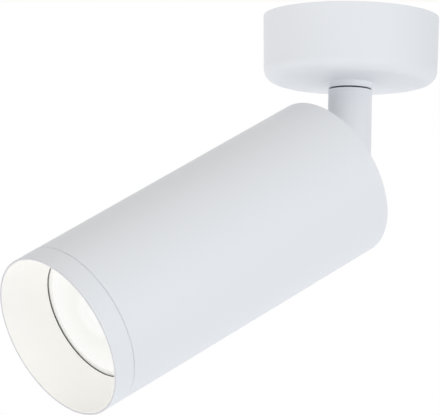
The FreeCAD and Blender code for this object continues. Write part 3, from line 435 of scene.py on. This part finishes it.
def phosphor():
    """Yellow drops, each lit a little differently."""
    drop = Finish("phosphor", (0.88, 0.72, 0.26), 0.25)
    drop.drift(scale=900.0, amount=0.06, rough=0.04)
    warm, pale = colour(1.0, 0.90, 0.66), colour(1.0, 0.96, 0.80)
    drop.set("Emission Color", drop.mix(drop.noise(1200.0), warm, pale))
    drop.set("Emission Strength", 1.0)
    return drop.grain(2500.0, 0.10, 0.02 * MM).material


STEATITE = ceramic()
SHELL = moulding("lamp_shell_plastic", LAMP_WHITE, 0.34, 2400.0).material
BLOCK = moulding("block_plastic", (0.76, 0.76, 0.71), 0.48, 1600.0).material
BOARD = moulding("lacquered_board", (0.78, 0.79, 0.77), 0.40, 2000.0).material
PHOSPHOR = phosphor()
print("ceramic and plastics made")

# %% [markdown]
# ## Dressing the CAD nodes
# A CAD node whose shape is right keeps its mesh and only gets a better material. One table says which
# finish each node wears.

# %% Finish of every CAD node
WEARS = {
    WHITE_COAT: "canopy_cup canopy_grub_screws swivel_collar stem_fork rear_lug pivot_screw",
    TUBE_COAT: "tube_housing rear_cap",
    RING_COAT: "front_ring",
    ZINC: "mounting_plate terminal_screws terminal_block_screw stop_pin threaded_nipple stop_washer "
    "nipple_nut pivot_nut lug_screws holder_bracket bracket_screws lampholder_screws",
    SPRING_STEEL: "spring_washer",
    BRASS: "terminal_inserts earth_screw earth_washer head_earth_screw head_earth_washer "
    "lampholder_contacts",
    NICKEL: "lamp_pins",
    NYLON: "floor_washer swivel_washer friction_washers",
    RUBBER: "cable_bush",
    GAP_SHADE_GASKET: "lamp_gasket",
    BAFFLE: "glare_baffle",
    LENS: "lamp_lens",
    STEATITE: "lampholder",
    SHELL: "lamp_shell lamp_base",
    BEZEL: "lamp_bezel",
    BLOCK: "terminal_block",
    BOARD: "led_board",
    PHOSPHOR: "led_chips",
}


def dress(node, material):
    """Give every slot of a CAD node its finish."""
    for slot in frame["nodes"][node].material_slots:
        slot.material = material


for material, names in WEARS.items():
    for name in names.split():
        dress(name, material)
undressed = set(frame["nodes"]) - {name for names in WEARS.values() for name in names.split()}
print("nodes without a finish:", sorted(undressed))

# %% [markdown]
# ## Turned pieces
# Most parts of a lamp come off a lathe, so a helper revolves an outline of (radius, height) corners,
# some of which can be rounded first. Then the faces are pointed outwards. Edges sharper than 30
# degrees stay crisp while the rest shade smoothly.

# %% The lathe
SHARP = math.radians(30)
LATHE_STEPS = 144
MOUTH_STEPS = 192  # for the large rings at the mouth


def rounded(corners, radii, steps=5):
    """Replace some corners of a closed outline by arcs: radii gives a radius for a corner's index."""
    path = []
    for i, corner in enumerate(corners):
        point = Vector(corner)
        if i not in radii:
            path.append(tuple(point))
            continue
        before = (Vector(corners[i - 1]) - point).normalized()
        after = (Vector(corners[(i + 1) % len(corners)]) - point).normalized()
        half = before.angle(after) / 2
        centre = point + (before + after).normalized() * radii[i] / math.sin(half)
        start = point + before * radii[i] / math.tan(half) - centre
        end = point + after * radii[i] / math.tan(half) - centre
        for k in range(steps + 1):
            path.append(tuple(centre + start.lerp(end, k / steps).normalized() * radii[i]))
    return path


def tidy_mesh(mesh):
    """Merge doubles, point the faces outwards and mark the sharp edges."""
    work = bmesh.new()
    work.from_mesh(mesh)
    bmesh.ops.remove_doubles(work, verts=work.verts, dist=1e-6)
    bmesh.ops.recalc_face_normals(work, faces=work.faces)
    for face in work.faces:
        face.smooth = True
    for edge in work.edges:
        edge.smooth = len(edge.link_faces) == 2 and edge.calc_face_angle() < SHARP
    work.to_mesh(mesh)
    work.free()


def lathe(name, outline, steps=LATHE_STEPS):
    """A closed solid from an outline of (radius, height) pairs in millimetres."""
    count = len(outline)
    points, faces = [], []
    for k in range(steps):
        angle = 2 * math.pi * k / steps
        points += [(r * MM * math.cos(angle), r * MM * math.sin(angle), z * MM) for r, z in outline]
    for k in range(steps):
        here, there = k * count, (k + 1) % steps * count
        for i in range(count):
            after = (i + 1) % count
            faces.append((here + i, there + i, there + after, here + after))
    mesh = bpy.data.meshes.new(name)
    mesh.from_pydata(points, [], faces)
    tidy_mesh(mesh)
    return mesh


def show(name, mesh, material, body, replaced, place):
    """Make a mesh a visible piece that rides on a body, with its place in its vertices."""
    mesh.transform(place)
    mesh.materials.clear()
    mesh.materials.append(material)
    piece = bpy.data.objects.new(name, mesh)
    bpy.context.scene.collection.objects.link(piece)
    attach(piece, body)
    if replaced:
        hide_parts(*replaced)


print("lathe ready")

# %% [markdown]
# ## Geometry trees
# Shapes that repeat, such as screws and the turns of a thread, are grown by Geometry Nodes. A tree is
# built with the same node maker and gets named inputs for its sizes. To use it, a plain mesh gets the
# tree as a modifier, the inputs are set through the sockets' identifiers, and the result is turned
# back into a plain mesh.

# %% Building and running a geometry tree


class Shape(Graph):
    """A geometry tree with named inputs. It ends in Realize Instances and Set Material."""

    def __init__(self, name, inputs):
        super().__init__(bpy.data.node_groups.new(name, "GeometryNodeTree"))
        self.tree.interface.new_socket("Geometry", in_out="INPUT", socket_type="NodeSocketGeometry")
        for label, kind in inputs.items():
            self.tree.interface.new_socket(label, in_out="INPUT", socket_type="NodeSocket" + kind)
        self.tree.interface.new_socket("Finish", in_out="INPUT", socket_type="NodeSocketMaterial")
        self.tree.interface.new_socket("Geometry", in_out="OUTPUT", socket_type="NodeSocketGeometry")
        self.given = self.node("NodeGroupInput")

    def ask(self, label):
        return self.given.other(label)

    def finish(self, geometry):
        real = self.node("GeometryNodeRealizeInstances", None, {0: geometry})
        done = self.node("GeometryNodeSetMaterial", None, {0: real, "Material": self.ask("Finish")})
        self.node("NodeGroupOutput", None, {0: done})
        return self

    def grow(self, mesh, material, **values):
        """Run the tree on a mesh and return the result as a plain mesh."""
        carrier = bpy.data.objects.new(mesh.name, mesh)
        bpy.context.scene.collection.objects.link(carrier)
        modifier = carrier.modifiers.new("grow", "NODES")
        modifier.node_group = self.tree
        wanted = {label.replace("_", " ").title(): value for label, value in values.items()}
        wanted["Finish"] = material
        for item in self.tree.interface.items_tree:
            if item.in_out == "INPUT" and item.name in wanted:
                modifier[item.identifier] = wanted.pop(item.name)
        if wanted:
            raise ValueError(f"no such input: {sorted(wanted)}")
        graph = bpy.context.evaluated_depsgraph_get()
        made = bpy.data.meshes.new_from_object(carrier.evaluated_get(graph))
        carrier.modifiers.clear()
        bpy.data.objects.remove(carrier)
        tidy_mesh(made)
        return made


print("geometry tools ready")

# %% [markdown]
# ## Screws
# The CAD screws are plain turned solids. A real one shows its drive: a hexagon socket on the tilt
# screw and the set screws, a slot in the terminal and earth screws, and a cross in the rest. The tree
# cuts the drive into a turned blank and then repeats the screw on a grid of points, because most
# screws here come in rows.

# %% The screw tree
HEX, SLOT, CROSS = 0, 1, 2
BAR_WIDTH = 0.22  # width of a slot as a share of its length


def box_of(tree, x, y, z):
    """A box about the origin."""
    size = tree.node("ShaderNodeCombineXYZ", None, {"X": x, "Y": y, "Z": z})
    return tree.node("GeometryNodeMeshCube", None, {"Size": size})


def points_in_line(tree, count, pitch, axis):
    """Points spaced evenly about the middle along X or Y."""
    step = tree.node("ShaderNodeCombineXYZ", None, {axis: pitch})
    start = tree.node("ShaderNodeCombineXYZ", None, {axis: (count - 1) * pitch * -0.5})
    line = {"Count": count, "Start Location": start, "Offset": step}
    return tree.node("GeometryNodeMeshLine", None, line)


def screw_tree():
    """Turned blank in, rows of screws with their drive cut out."""
    tree = Shape("screw_rows", {
        "Drive": "Int", "Drive Size": "Float", "Drive Depth": "Float", "Top": "Float",
        "Columns": "Int", "Column Pitch": "Float", "Rows": "Int", "Row Pitch": "Float",
    })
    drive, size, tall = tree.ask("Drive"), tree.ask("Drive Size"), tree.ask("Drive Depth") * 2
    hexagon = tree.node("GeometryNodeMeshCylinder", None, {
        "Vertices": 6, "Radius": size * (1 / math.sqrt(3)), "Depth": tall,
    })
    bar = box_of(tree, size, size * BAR_WIDTH, tall)
    crossbar = box_of(tree, size * BAR_WIDTH, size, tall)
    geometry = {"input_type": "GEOMETRY"}
    second = tree.node("GeometryNodeSwitch", geometry, {"Switch": drive - 1, "True": crossbar})
    slots = tree.node("GeometryNodeMeshBoolean", {"operation": "UNION"}, {"Mesh 2": bar})
    tree.tree.links.new(second.socket, slots.socket.node.inputs["Mesh 2"])
    cutter = tree.node("GeometryNodeSwitch", geometry, {"Switch": drive, "False": hexagon, "True": slots})
    lift = tree.node("ShaderNodeCombineXYZ", None, {"Z": tree.ask("Top")})
    cutter = tree.node("GeometryNodeTransform", None, {0: cutter, "Translation": lift})
    cut = {"Mesh 1": tree.ask("Geometry"), "Mesh 2": cutter}
    screw = tree.node("GeometryNodeMeshBoolean", {"operation": "DIFFERENCE"}, cut)
    columns = points_in_line(tree, tree.ask("Columns"), tree.ask("Column Pitch"), "X")
    rows = points_in_line(tree, tree.ask("Rows"), tree.ask("Row Pitch"), "Y")
    grid = tree.node("GeometryNodeInstanceOnPoints", None, {"Points": rows, "Instance": columns})
    grid = tree.node("GeometryNodeRealizeInstances", None, {0: grid})
    every = {"Points": grid, "Instance": screw}
    return tree.finish(tree.node("GeometryNodeInstanceOnPoints", None, every))


SCREWS = screw_tree()
SCREW_STEPS = 48


def blank(name, shank, head, tip, seat, top, dome=0.5):
    """A screw along Z, in millimetres: its shank from the tip to the seat, its head up to the top."""
    point = min(0.4, shank / 3)
    outline = [
        (0, tip), (shank - point, tip), (shank, tip + point), (shank, seat),
        (head, seat), (head, top), (0, top),
    ]
    return lathe(name, rounded(outline, {5: min(dome, (top - seat) * 0.9)}), SCREW_STEPS)


def set_screw(name, radius, low, high):
    """A headless screw along Z, in millimetres."""
    edge = radius / 4
    outline = [
        (0, low), (radius - edge, low), (radius, low + edge),
        (radius, high - edge), (radius - edge, high), (0, high),
    ]
    return lathe(name, outline, SCREW_STEPS)


def screw_rows(mesh, material, drive, size, depth, top, columns=1, column_pitch=0, rows=1, row_pitch=0):
    """Rows of a screw with its drive: lengths in millimetres, top is the height of the head's top."""
    return SCREWS.grow(
        mesh, material, drive=drive, drive_size=size * MM, drive_depth=depth * MM, top=top * MM,
        columns=columns, column_pitch=column_pitch * MM, rows=rows, row_pitch=row_pitch * MM,
    )


print("screw tree has", len(SCREWS.tree.nodes), "nodes")

# %% [markdown]
# ## Every screw in its place
# Each row of plain CAD screws is hidden and a driven one stands for it, on the same axis and with the
# same length. From outside the tilt screw shows most: a low button head with a hexagon socket,
# painted with the stem. The two small set screws in the canopy's side are painted as well.

# %% Screws of the stem, the canopy and the head
TILT_PLACE = Matrix.Translation(PIVOT) @ Matrix.Rotation(math.pi / 2, 4, "X")
POLE_PITCH = 8.5


def moved(place, x, y, z):
    """A place moved along its own axes, in millimetres."""
    return place @ Matrix.Translation((x * MM, y * MM, z * MM))


tilt_blank = blank("tilt_screw", 2.0, 3.6, -7.0, 5.5, 7.0, 0.7)
tilt_screw = screw_rows(tilt_blank, WHITE_COAT, HEX, 2.5, 1.0, 7.0)
show("tilt_screw", tilt_screw, WHITE_COAT, "stem", ["pivot_screw"], TILT_PLACE)

block_place = moved(PLATE, 16.0, 0, 1.5)
wire_blank = set_screw("wire_screws", 1.5, 8.0, 11.0)
wire_screws = screw_rows(wire_blank, ZINC, SLOT, 2.8, 0.7, 11.0, 2, 6.8, 3, POLE_PITCH)
show("wire_screws", wire_screws, ZINC, "mount", ["terminal_screws"], block_place)

between_poles = moved(block_place, 0, -POLE_PITCH / 2, 0)
block_screw = screw_rows(blank("block_screw", 1.25, 2.0, -1.5, 4.0, 6.0), ZINC, CROSS, 2.2, 0.9, 6.0)
show("block_screw", block_screw, ZINC, "mount", ["terminal_block_screw"], between_poles)

earth_blank = blank("earth_screw", 2.0, 3.5, -1.3, 1.0, 3.4)
earth_screw = screw_rows(earth_blank, BRASS, SLOT, 5.0, 0.9, 3.4)
on_plate, on_cap = moved(PLATE, -10.0, 15.0, 1.5), moved(HEAD, 0, 20.0, 4.0)
show("plate_earth_screw", earth_screw.copy(), BRASS, "mount", ["earth_screw"], on_plate)
show("cap_earth_screw", earth_screw, BRASS, "head", ["head_earth_screw"], on_cap)

grub = screw_rows(set_screw("grub", 1.5, 27.0, 31.6), WHITE_COAT, HEX, 1.5, 1.2, 31.6)
for side, turn in (("near", math.pi / 2), ("far", -math.pi / 2)):
    place = moved(PLATE, 0, 0, 7.0) @ Matrix.Rotation(turn, 4, "Y")
    copy = grub.copy()
    show("set_screw_" + side, copy, WHITE_COAT, "mount", ["canopy_grub_screws"], place)

# name, CAD node, (tip, seat) along the head's Z, (columns, their pitch, rows, their pitch)
HEAD_SCREWS = [
    ("lug_screw_row", "lug_screws", (-0.75, 4.0), (1, 0.0, 2, 15.0)),
    ("bracket_screw_row", "bracket_screws", (1.0, 5.2), (2, 40.0, 1, 0.0)),
    ("holder_screw_row", "lampholder_screws", (47.8, 64.2), (2, 23.0, 1, 0.0)),
]
for name, node, (tip, seat), layout in HEAD_SCREWS:
    plain = blank(name, 1.5, 2.75, tip, seat, seat + 2.0, 0.8)
    row = screw_rows(plain, ZINC, CROSS, 3.2, 1.1, seat + 2.0, *layout)
    show(name, row, ZINC, "head", [node], HEAD)
print("screws made")

# %% [markdown]
# ## Threads
# A thread is a ridge with a trapezoid section that climbs a helix. The tree sweeps that section along
# a spiral, lets both ends fade into the core, and joins it to the turned core that it was given. It
# serves the coarse thread of the front ring, 1.5 mm a turn, and the finer one of the nipple.

# %% The thread tree
FOOT, CREST = 0.85, 0.25  # widths of the ridge as shares of the pitch
FADE = 3  # the ridge grows to its full size in a third of a turn


def thread_tree():
    """Turned core in, the same core with a helical ridge out."""
    tree = Shape("thread", {
        "Crest": "Float", "Depth": "Float", "Pitch": "Float", "Turns": "Float", "Start": "Float",
    })
    crest, depth, pitch, turns = (tree.ask(label) for label in ("Crest", "Depth", "Pitch", "Turns"))
    root = crest - depth
    spiral = tree.node("GeometryNodeCurveSpiral", None, {
        "Resolution": 64, "Rotations": turns, "Height": turns * pitch,
        "Start Radius": root, "End Radius": root,
    })
    upright = tree.node("GeometryNodeSetCurveNormal", {"mode": "Z_UP"}, {0: spiral})
    along = tree.node("GeometryNodeSplineParameter", output="Factor")
    ends = (along * turns * FADE).math("MINIMUM", (1 - along) * turns * FADE)
    thickness = ends.math("MINIMUM", 1.0).math("MAXIMUM", 0.02)
    faded = tree.node("GeometryNodeSetCurveRadius", None, {0: upright, "Radius": thickness})
    section = tree.node("GeometryNodeCurvePrimitiveQuadrilateral", {"mode": "TRAPEZOID"}, {
        "Bottom Width": pitch * FOOT, "Top Width": pitch * CREST, "Offset": 0.0, "Height": depth * 2,
    })
    sweep = {"Curve": faded, "Profile Curve": section, "Fill Caps": True}
    ridge = tree.node("GeometryNodeCurveToMesh", None, sweep)
    lift = tree.node("ShaderNodeCombineXYZ", None, {"Z": tree.ask("Start")})
    ridge = tree.node("GeometryNodeTransform", None, {0: ridge, "Translation": lift})
    both = tree.node("GeometryNodeJoinGeometry", None, {0: ridge})
    tree.tree.links.new(tree.ask("Geometry").socket, both.socket.node.inputs[0])
    return tree.finish(both)


THREAD = thread_tree()


def threaded(core, material, **sizes):
    """A core with its thread: sizes in millimetres, turns as they are."""
    turns = sizes.pop("turns")
    return THREAD.grow(core, material, turns=turns, **{name: size * MM for name, size in sizes.items()})


print("thread tree has", len(THREAD.tree.nodes), "nodes")

# %% [markdown]
# ## The front ring and its gasket
# The ring is the only part that comes off in use: it unscrews by hand when the lamp is changed, and
# then its threaded spigot shows. Its outline is turned first and the thread is grown on it. The
# gasket behind it is a flat ring whose soft inner edge bulges a little past the baffle, which is the
# thin dark line in the photograph; its near-black colour is painted shade for the gap there.

# %% Front ring and gasket
BAFFLE_SLOPE = 16.05 / 5.65  # depth over radius of the baffle's cone
CONE_RADIUS, CONE_FRONT = 30.05, 0.15  # of the baffle's outside at its front edge, and that edge's depth


def cone_depth(radius):
    """Depth behind the front edge at which the baffle's outside has this radius."""
    return CONE_FRONT + (CONE_RADIUS - radius) * BAFFLE_SLOPE


RING_OUTLINE = [
    (29.3, 0.0), (30.0, 0.0), (30.0, 8.35), (29.5, 8.85), (27.9, 8.85),
    (27.9, 16.25), (27.6, 16.55), (26.9, 16.55), (26.9, cone_depth(26.9)), (29.3, cone_depth(29.3)),
]
ring_core = lathe("front_ring_turned", rounded(RING_OUTLINE, {0: 0.1, 1: 0.2}), MOUTH_STEPS)
ring_mesh = threaded(ring_core, RING_COAT, crest=28.4, depth=0.5, pitch=1.5, turns=4.2, start=9.5)
show("front_ring_turned", ring_mesh, RING_COAT, "front_ring", ["front_ring"], FRONT)

GASKET_OUTLINE = [(23.2, 16.25), (26.4, 16.25), (26.4, 16.6), (23.2, 16.6)]
gasket = lathe("gasket", rounded(GASKET_OUTLINE, {0: 0.15, 3: 0.15}, 3), MOUTH_STEPS)
show("gasket", gasket, GAP_SHADE_GASKET, "ring_seal", ["lamp_gasket"], FRONT)
print("front ring:", len(ring_mesh.polygons), "faces, gasket:", len(gasket.polygons))

# %% [markdown]
# ## The swivel
# Where the stem turns under the canopy, the photograph shows a short collar that runs into the cup
# with a small fillet, and under it a dark slate line, drawn as a black washer between the collar and
# the rounded lip of the stem. The line is drawn 0.4 mm higher than in the CAD model, where the
# photograph has it. Inside the canopy a conical spring presses on the cup's floor, with a hair of room
# so that nothing cuts into it when the stem turns. The hollow nipple, with its fine thread, holds it
# all together. The outlines give depths below the ceiling.

# %% Collar, washer, lip, spring and nipple
SWIVEL_STEPS = 96
COLLAR_OUTLINE = [(5.1, 24.5), (8.5, 24.5), (8.0, 25.0), (8.0, 26.6), (5.1, 26.6)]
WASHER_OUTLINE = [(5.0, 26.65), (7.5, 26.65), (7.5, 27.2), (5.0, 27.2)]
LIP_OUTLINE = [(7.6, 27.2), (8.0, 27.2), (8.0, 27.5), (7.6, 27.5)]
SPRING_OUTLINE = [(5.1, 22.0), (9.0, 22.47), (9.0, 22.77), (5.1, 22.3)]
NIPPLE_OUTLINE = [(3.5, 14.8), (4.3, 14.8), (4.6, 15.1), (4.6, 37.7), (4.3, 38), (3.5, 38)]

collar = lathe("collar", rounded(COLLAR_OUTLINE, {2: 0.6, 3: 0.15}), SWIVEL_STEPS)
show("collar", collar, WHITE_COAT, "mount", ["swivel_collar"], CEILING)
gap_washer = lathe("gap_washer", rounded(WASHER_OUTLINE, {1: 0.1, 2: 0.1}), SWIVEL_STEPS)
show("gap_washer", gap_washer, NYLON, "stem", ["swivel_washer"], CEILING)
lip = lathe("stem_lip", rounded(LIP_OUTLINE, {1: 0.1}), SWIVEL_STEPS)
show("stem_lip", lip, WHITE_COAT, "stem", [], CEILING)
spring = lathe("spring", rounded(SPRING_OUTLINE, {1: 0.05, 2: 0.05}, 2), SWIVEL_STEPS)
show("spring", spring, SPRING_STEEL, "stem", ["spring_washer"], CEILING)

nipple_core = lathe("nipple_core", NIPPLE_OUTLINE, 64)
nipple_mesh = threaded(nipple_core, ZINC, crest=5.0, depth=0.4, pitch=1.0, turns=22.4, start=15.2)
show("nipple", nipple_mesh, ZINC, "stem", ["threaded_nipple"], CEILING)
print("nipple:", len(nipple_mesh.polygons), "faces")

# %% [markdown]
# ## The lens
# A reflector lamp spreads its light through low rings that are pressed into the lens's face. The
# blank is turned with closely spaced loops, and the tree lowers each point of the face by a cosine of
# its distance from the axis. The rings fade out before the rim, where the lens sits under the bezel's
# lip.

# %% The ripple tree and the lens


def ripple_tree():
    """Turned blank in, the same blank with rings pressed into its upper face out."""
    tree = Shape("ripples", {"Face": "Float", "Reach": "Float", "Pitch": "Float", "Depth": "Float"})
    face, reach, pitch, depth = (tree.ask(label) for label in ("Face", "Reach", "Pitch", "Depth"))
    place = tree.node("GeometryNodeInputPosition")
    radius = tree.vector_math("LENGTH", tree.vector_math("MULTIPLY", place, (1, 1, 0)), output="Value")
    height = tree.node("ShaderNodeSeparateXYZ", None, {0: place}, "Z")
    fade = ((reach - radius) / pitch).math("MINIMUM", 1.0).math("MAXIMUM", 0.0)
    wave = ((radius / pitch * (2 * math.pi)).math("COSINE") - 1) * 0.5 * depth * fade
    sink = tree.node("ShaderNodeCombineXYZ", None, {"Z": wave})
    on_face = height.math("GREATER_THAN", face - 0.01 * MM)
    given = {0: tree.ask("Geometry"), "Selection": on_face, "Offset": sink}
    return tree.finish(tree.node("GeometryNodeSetPosition", None, given))


RIPPLES = ripple_tree()
LENS_SHELF, LENS_BACK = 114.6, 112.8
FLANGE, SHELF_RADIUS = 22.9, 21.4  # radii of the rim under the bezel and of the step inside it
LENS_LOOPS = 106
rim = [(0, LENS_BACK), (FLANGE, LENS_BACK), (FLANGE, LENS_SHELF), (SHELF_RADIUS, LENS_SHELF)]
loops = [(LENS_RADIUS * k / LENS_LOOPS, LENS_FACE) for k in range(LENS_LOOPS, -1, -1)]
lens_blank = lathe("lens", rim + loops)
lens_mesh = RIPPLES.grow(
    lens_blank, LENS, face=LENS_FACE * MM, reach=LENS_RADIUS * MM, pitch=1.6 * MM, depth=0.04 * MM,
)
show("lens", lens_mesh, LENS, "lamp", ["lamp_lens"], HEAD)
print("lens:", len(lens_mesh.polygons), "faces")

# %% [markdown]
# ## Floor, world and lamps
# The picture has a plain white ground and soft light from all sides. The world gives half of it, and
# four large soft lamps shape the round forms: one low on the left, which also reaches into the mouth,
# one on the right, one high in front, and a weak one behind and below for the underside of the
# canopy. The world looks pure white to the camera but lights the object less than that, so that the
# pale coat keeps its tone. The floor lies at a room's height below, where no view of the lamp is
# blocked, and sends light up from there.

# %% Floor and world
ROOM_HEIGHT = 2.4
FLOOR_SIDE = 60.0
STUDIO_TINT = (1.0, 1.0, 0.990)
FLOOR_TINT = (0.945, 0.960, 1.0)
MIDDLE_LEVEL = 0.45  # light of the world, as a share of white
LEAN = back * 0.05 + right * 0.12 + Vector((0, 0, 0.12))  # where more of it comes from, and how much
FLOOR_LIFT = 0.38  # light added to the floor where the camera sees it
FLOOR_GLOW = 0.40  # and where it lights the object


def seen_rays(graph):
    """1 for a ray of the camera, or one that a shiny or clear surface sends on."""
    camera_ray = graph.node("ShaderNodeLightPath", output="Is Camera Ray")
    shiny = camera_ray.other("Is Glossy Ray").math("MAXIMUM", camera_ray.other("Is Transmission Ray"))
    return camera_ray.math("MAXIMUM", shiny)


world = bpy.data.worlds.new("studio")
bpy.context.scene.world = world
world.use_nodes = True
sky = Graph(world.node_tree)
direction = sky.node("ShaderNodeTexCoord", output="Generated")
level = sky.vector_math("DOT_PRODUCT", direction, tuple(LEAN), output="Value") + MIDDLE_LEVEL
soft = sky.mix(level, colour(0.0, 0.0, 0.0), colour(*STUDIO_TINT))
tone = sky.mix(seen_rays(sky), soft, colour(1.0, 1.0, 1.0))
sky.tree.links.new(tone.socket, sky.tree.nodes["Background"].inputs["Color"])

floor_mesh = bpy.data.meshes.new("floor")
half = FLOOR_SIDE / 2
corners = [(-half, -half), (half, -half), (half, half), (-half, half)]
floor_mesh.from_pydata([(x, y, -ROOM_HEIGHT) for x, y in corners], [], [(0, 1, 2, 3)])
floor_finish = Finish("pale_floor", (0.82, 0.83, 0.84), 0.8)
shown, hidden = ([light * tint for tint in FLOOR_TINT] for light in (FLOOR_LIFT, FLOOR_GLOW))
floor_light = floor_finish.mix(seen_rays(floor_finish), colour(*hidden), colour(*shown))
floor_finish.set("Emission Color", floor_light)
floor_finish.set("Emission Strength", 1.0)
floor_mesh.materials.append(floor_finish.material)
floor = bpy.data.objects.new("floor", floor_mesh)
bpy.context.scene.collection.objects.link(floor)
bpy.context.scene.view_settings.view_transform = "Standard"
print("floor and world ready")

# %% Lamps
LAMP_DISTANCE, LAMP_SIDE = 2.2, 1.4


def soft_lamp(name, direction, power, tint):
    """A square soft lamp that faces the object. Shiny parts mirror the white studio and not the lamp."""
    lamp = bpy.data.lights.new(name, "AREA")
    lamp.size, lamp.energy, lamp.color = LAMP_SIDE, power, tint
    holder = bpy.data.objects.new(name, lamp)
    holder.visible_glossy = False
    aim = direction.normalized()
    holder.location = PIVOT + aim * LAMP_DISTANCE
    holder.rotation_euler = aim.to_track_quat("Z", "Y").to_euler()
    bpy.context.scene.collection.objects.link(holder)


soft_lamp("behind", -back * 0.68 - right * 0.22 - up * 0.70, 4.4, (1.0, 1.0, 1.0))
soft_lamp("low left", back * 0.07 - right * 0.82 - up * 0.57, 12.8, (1.0, 0.99, 0.965))
soft_lamp("right", back * 0.81 + right * 0.57 - up * 0.17, 10.4, (0.92, 0.97, 1.0))
soft_lamp("front", back * 0.69 - right * 0.32 + up * 0.64, 10.4, (1.0, 0.975, 0.96))
print("lamps ready")
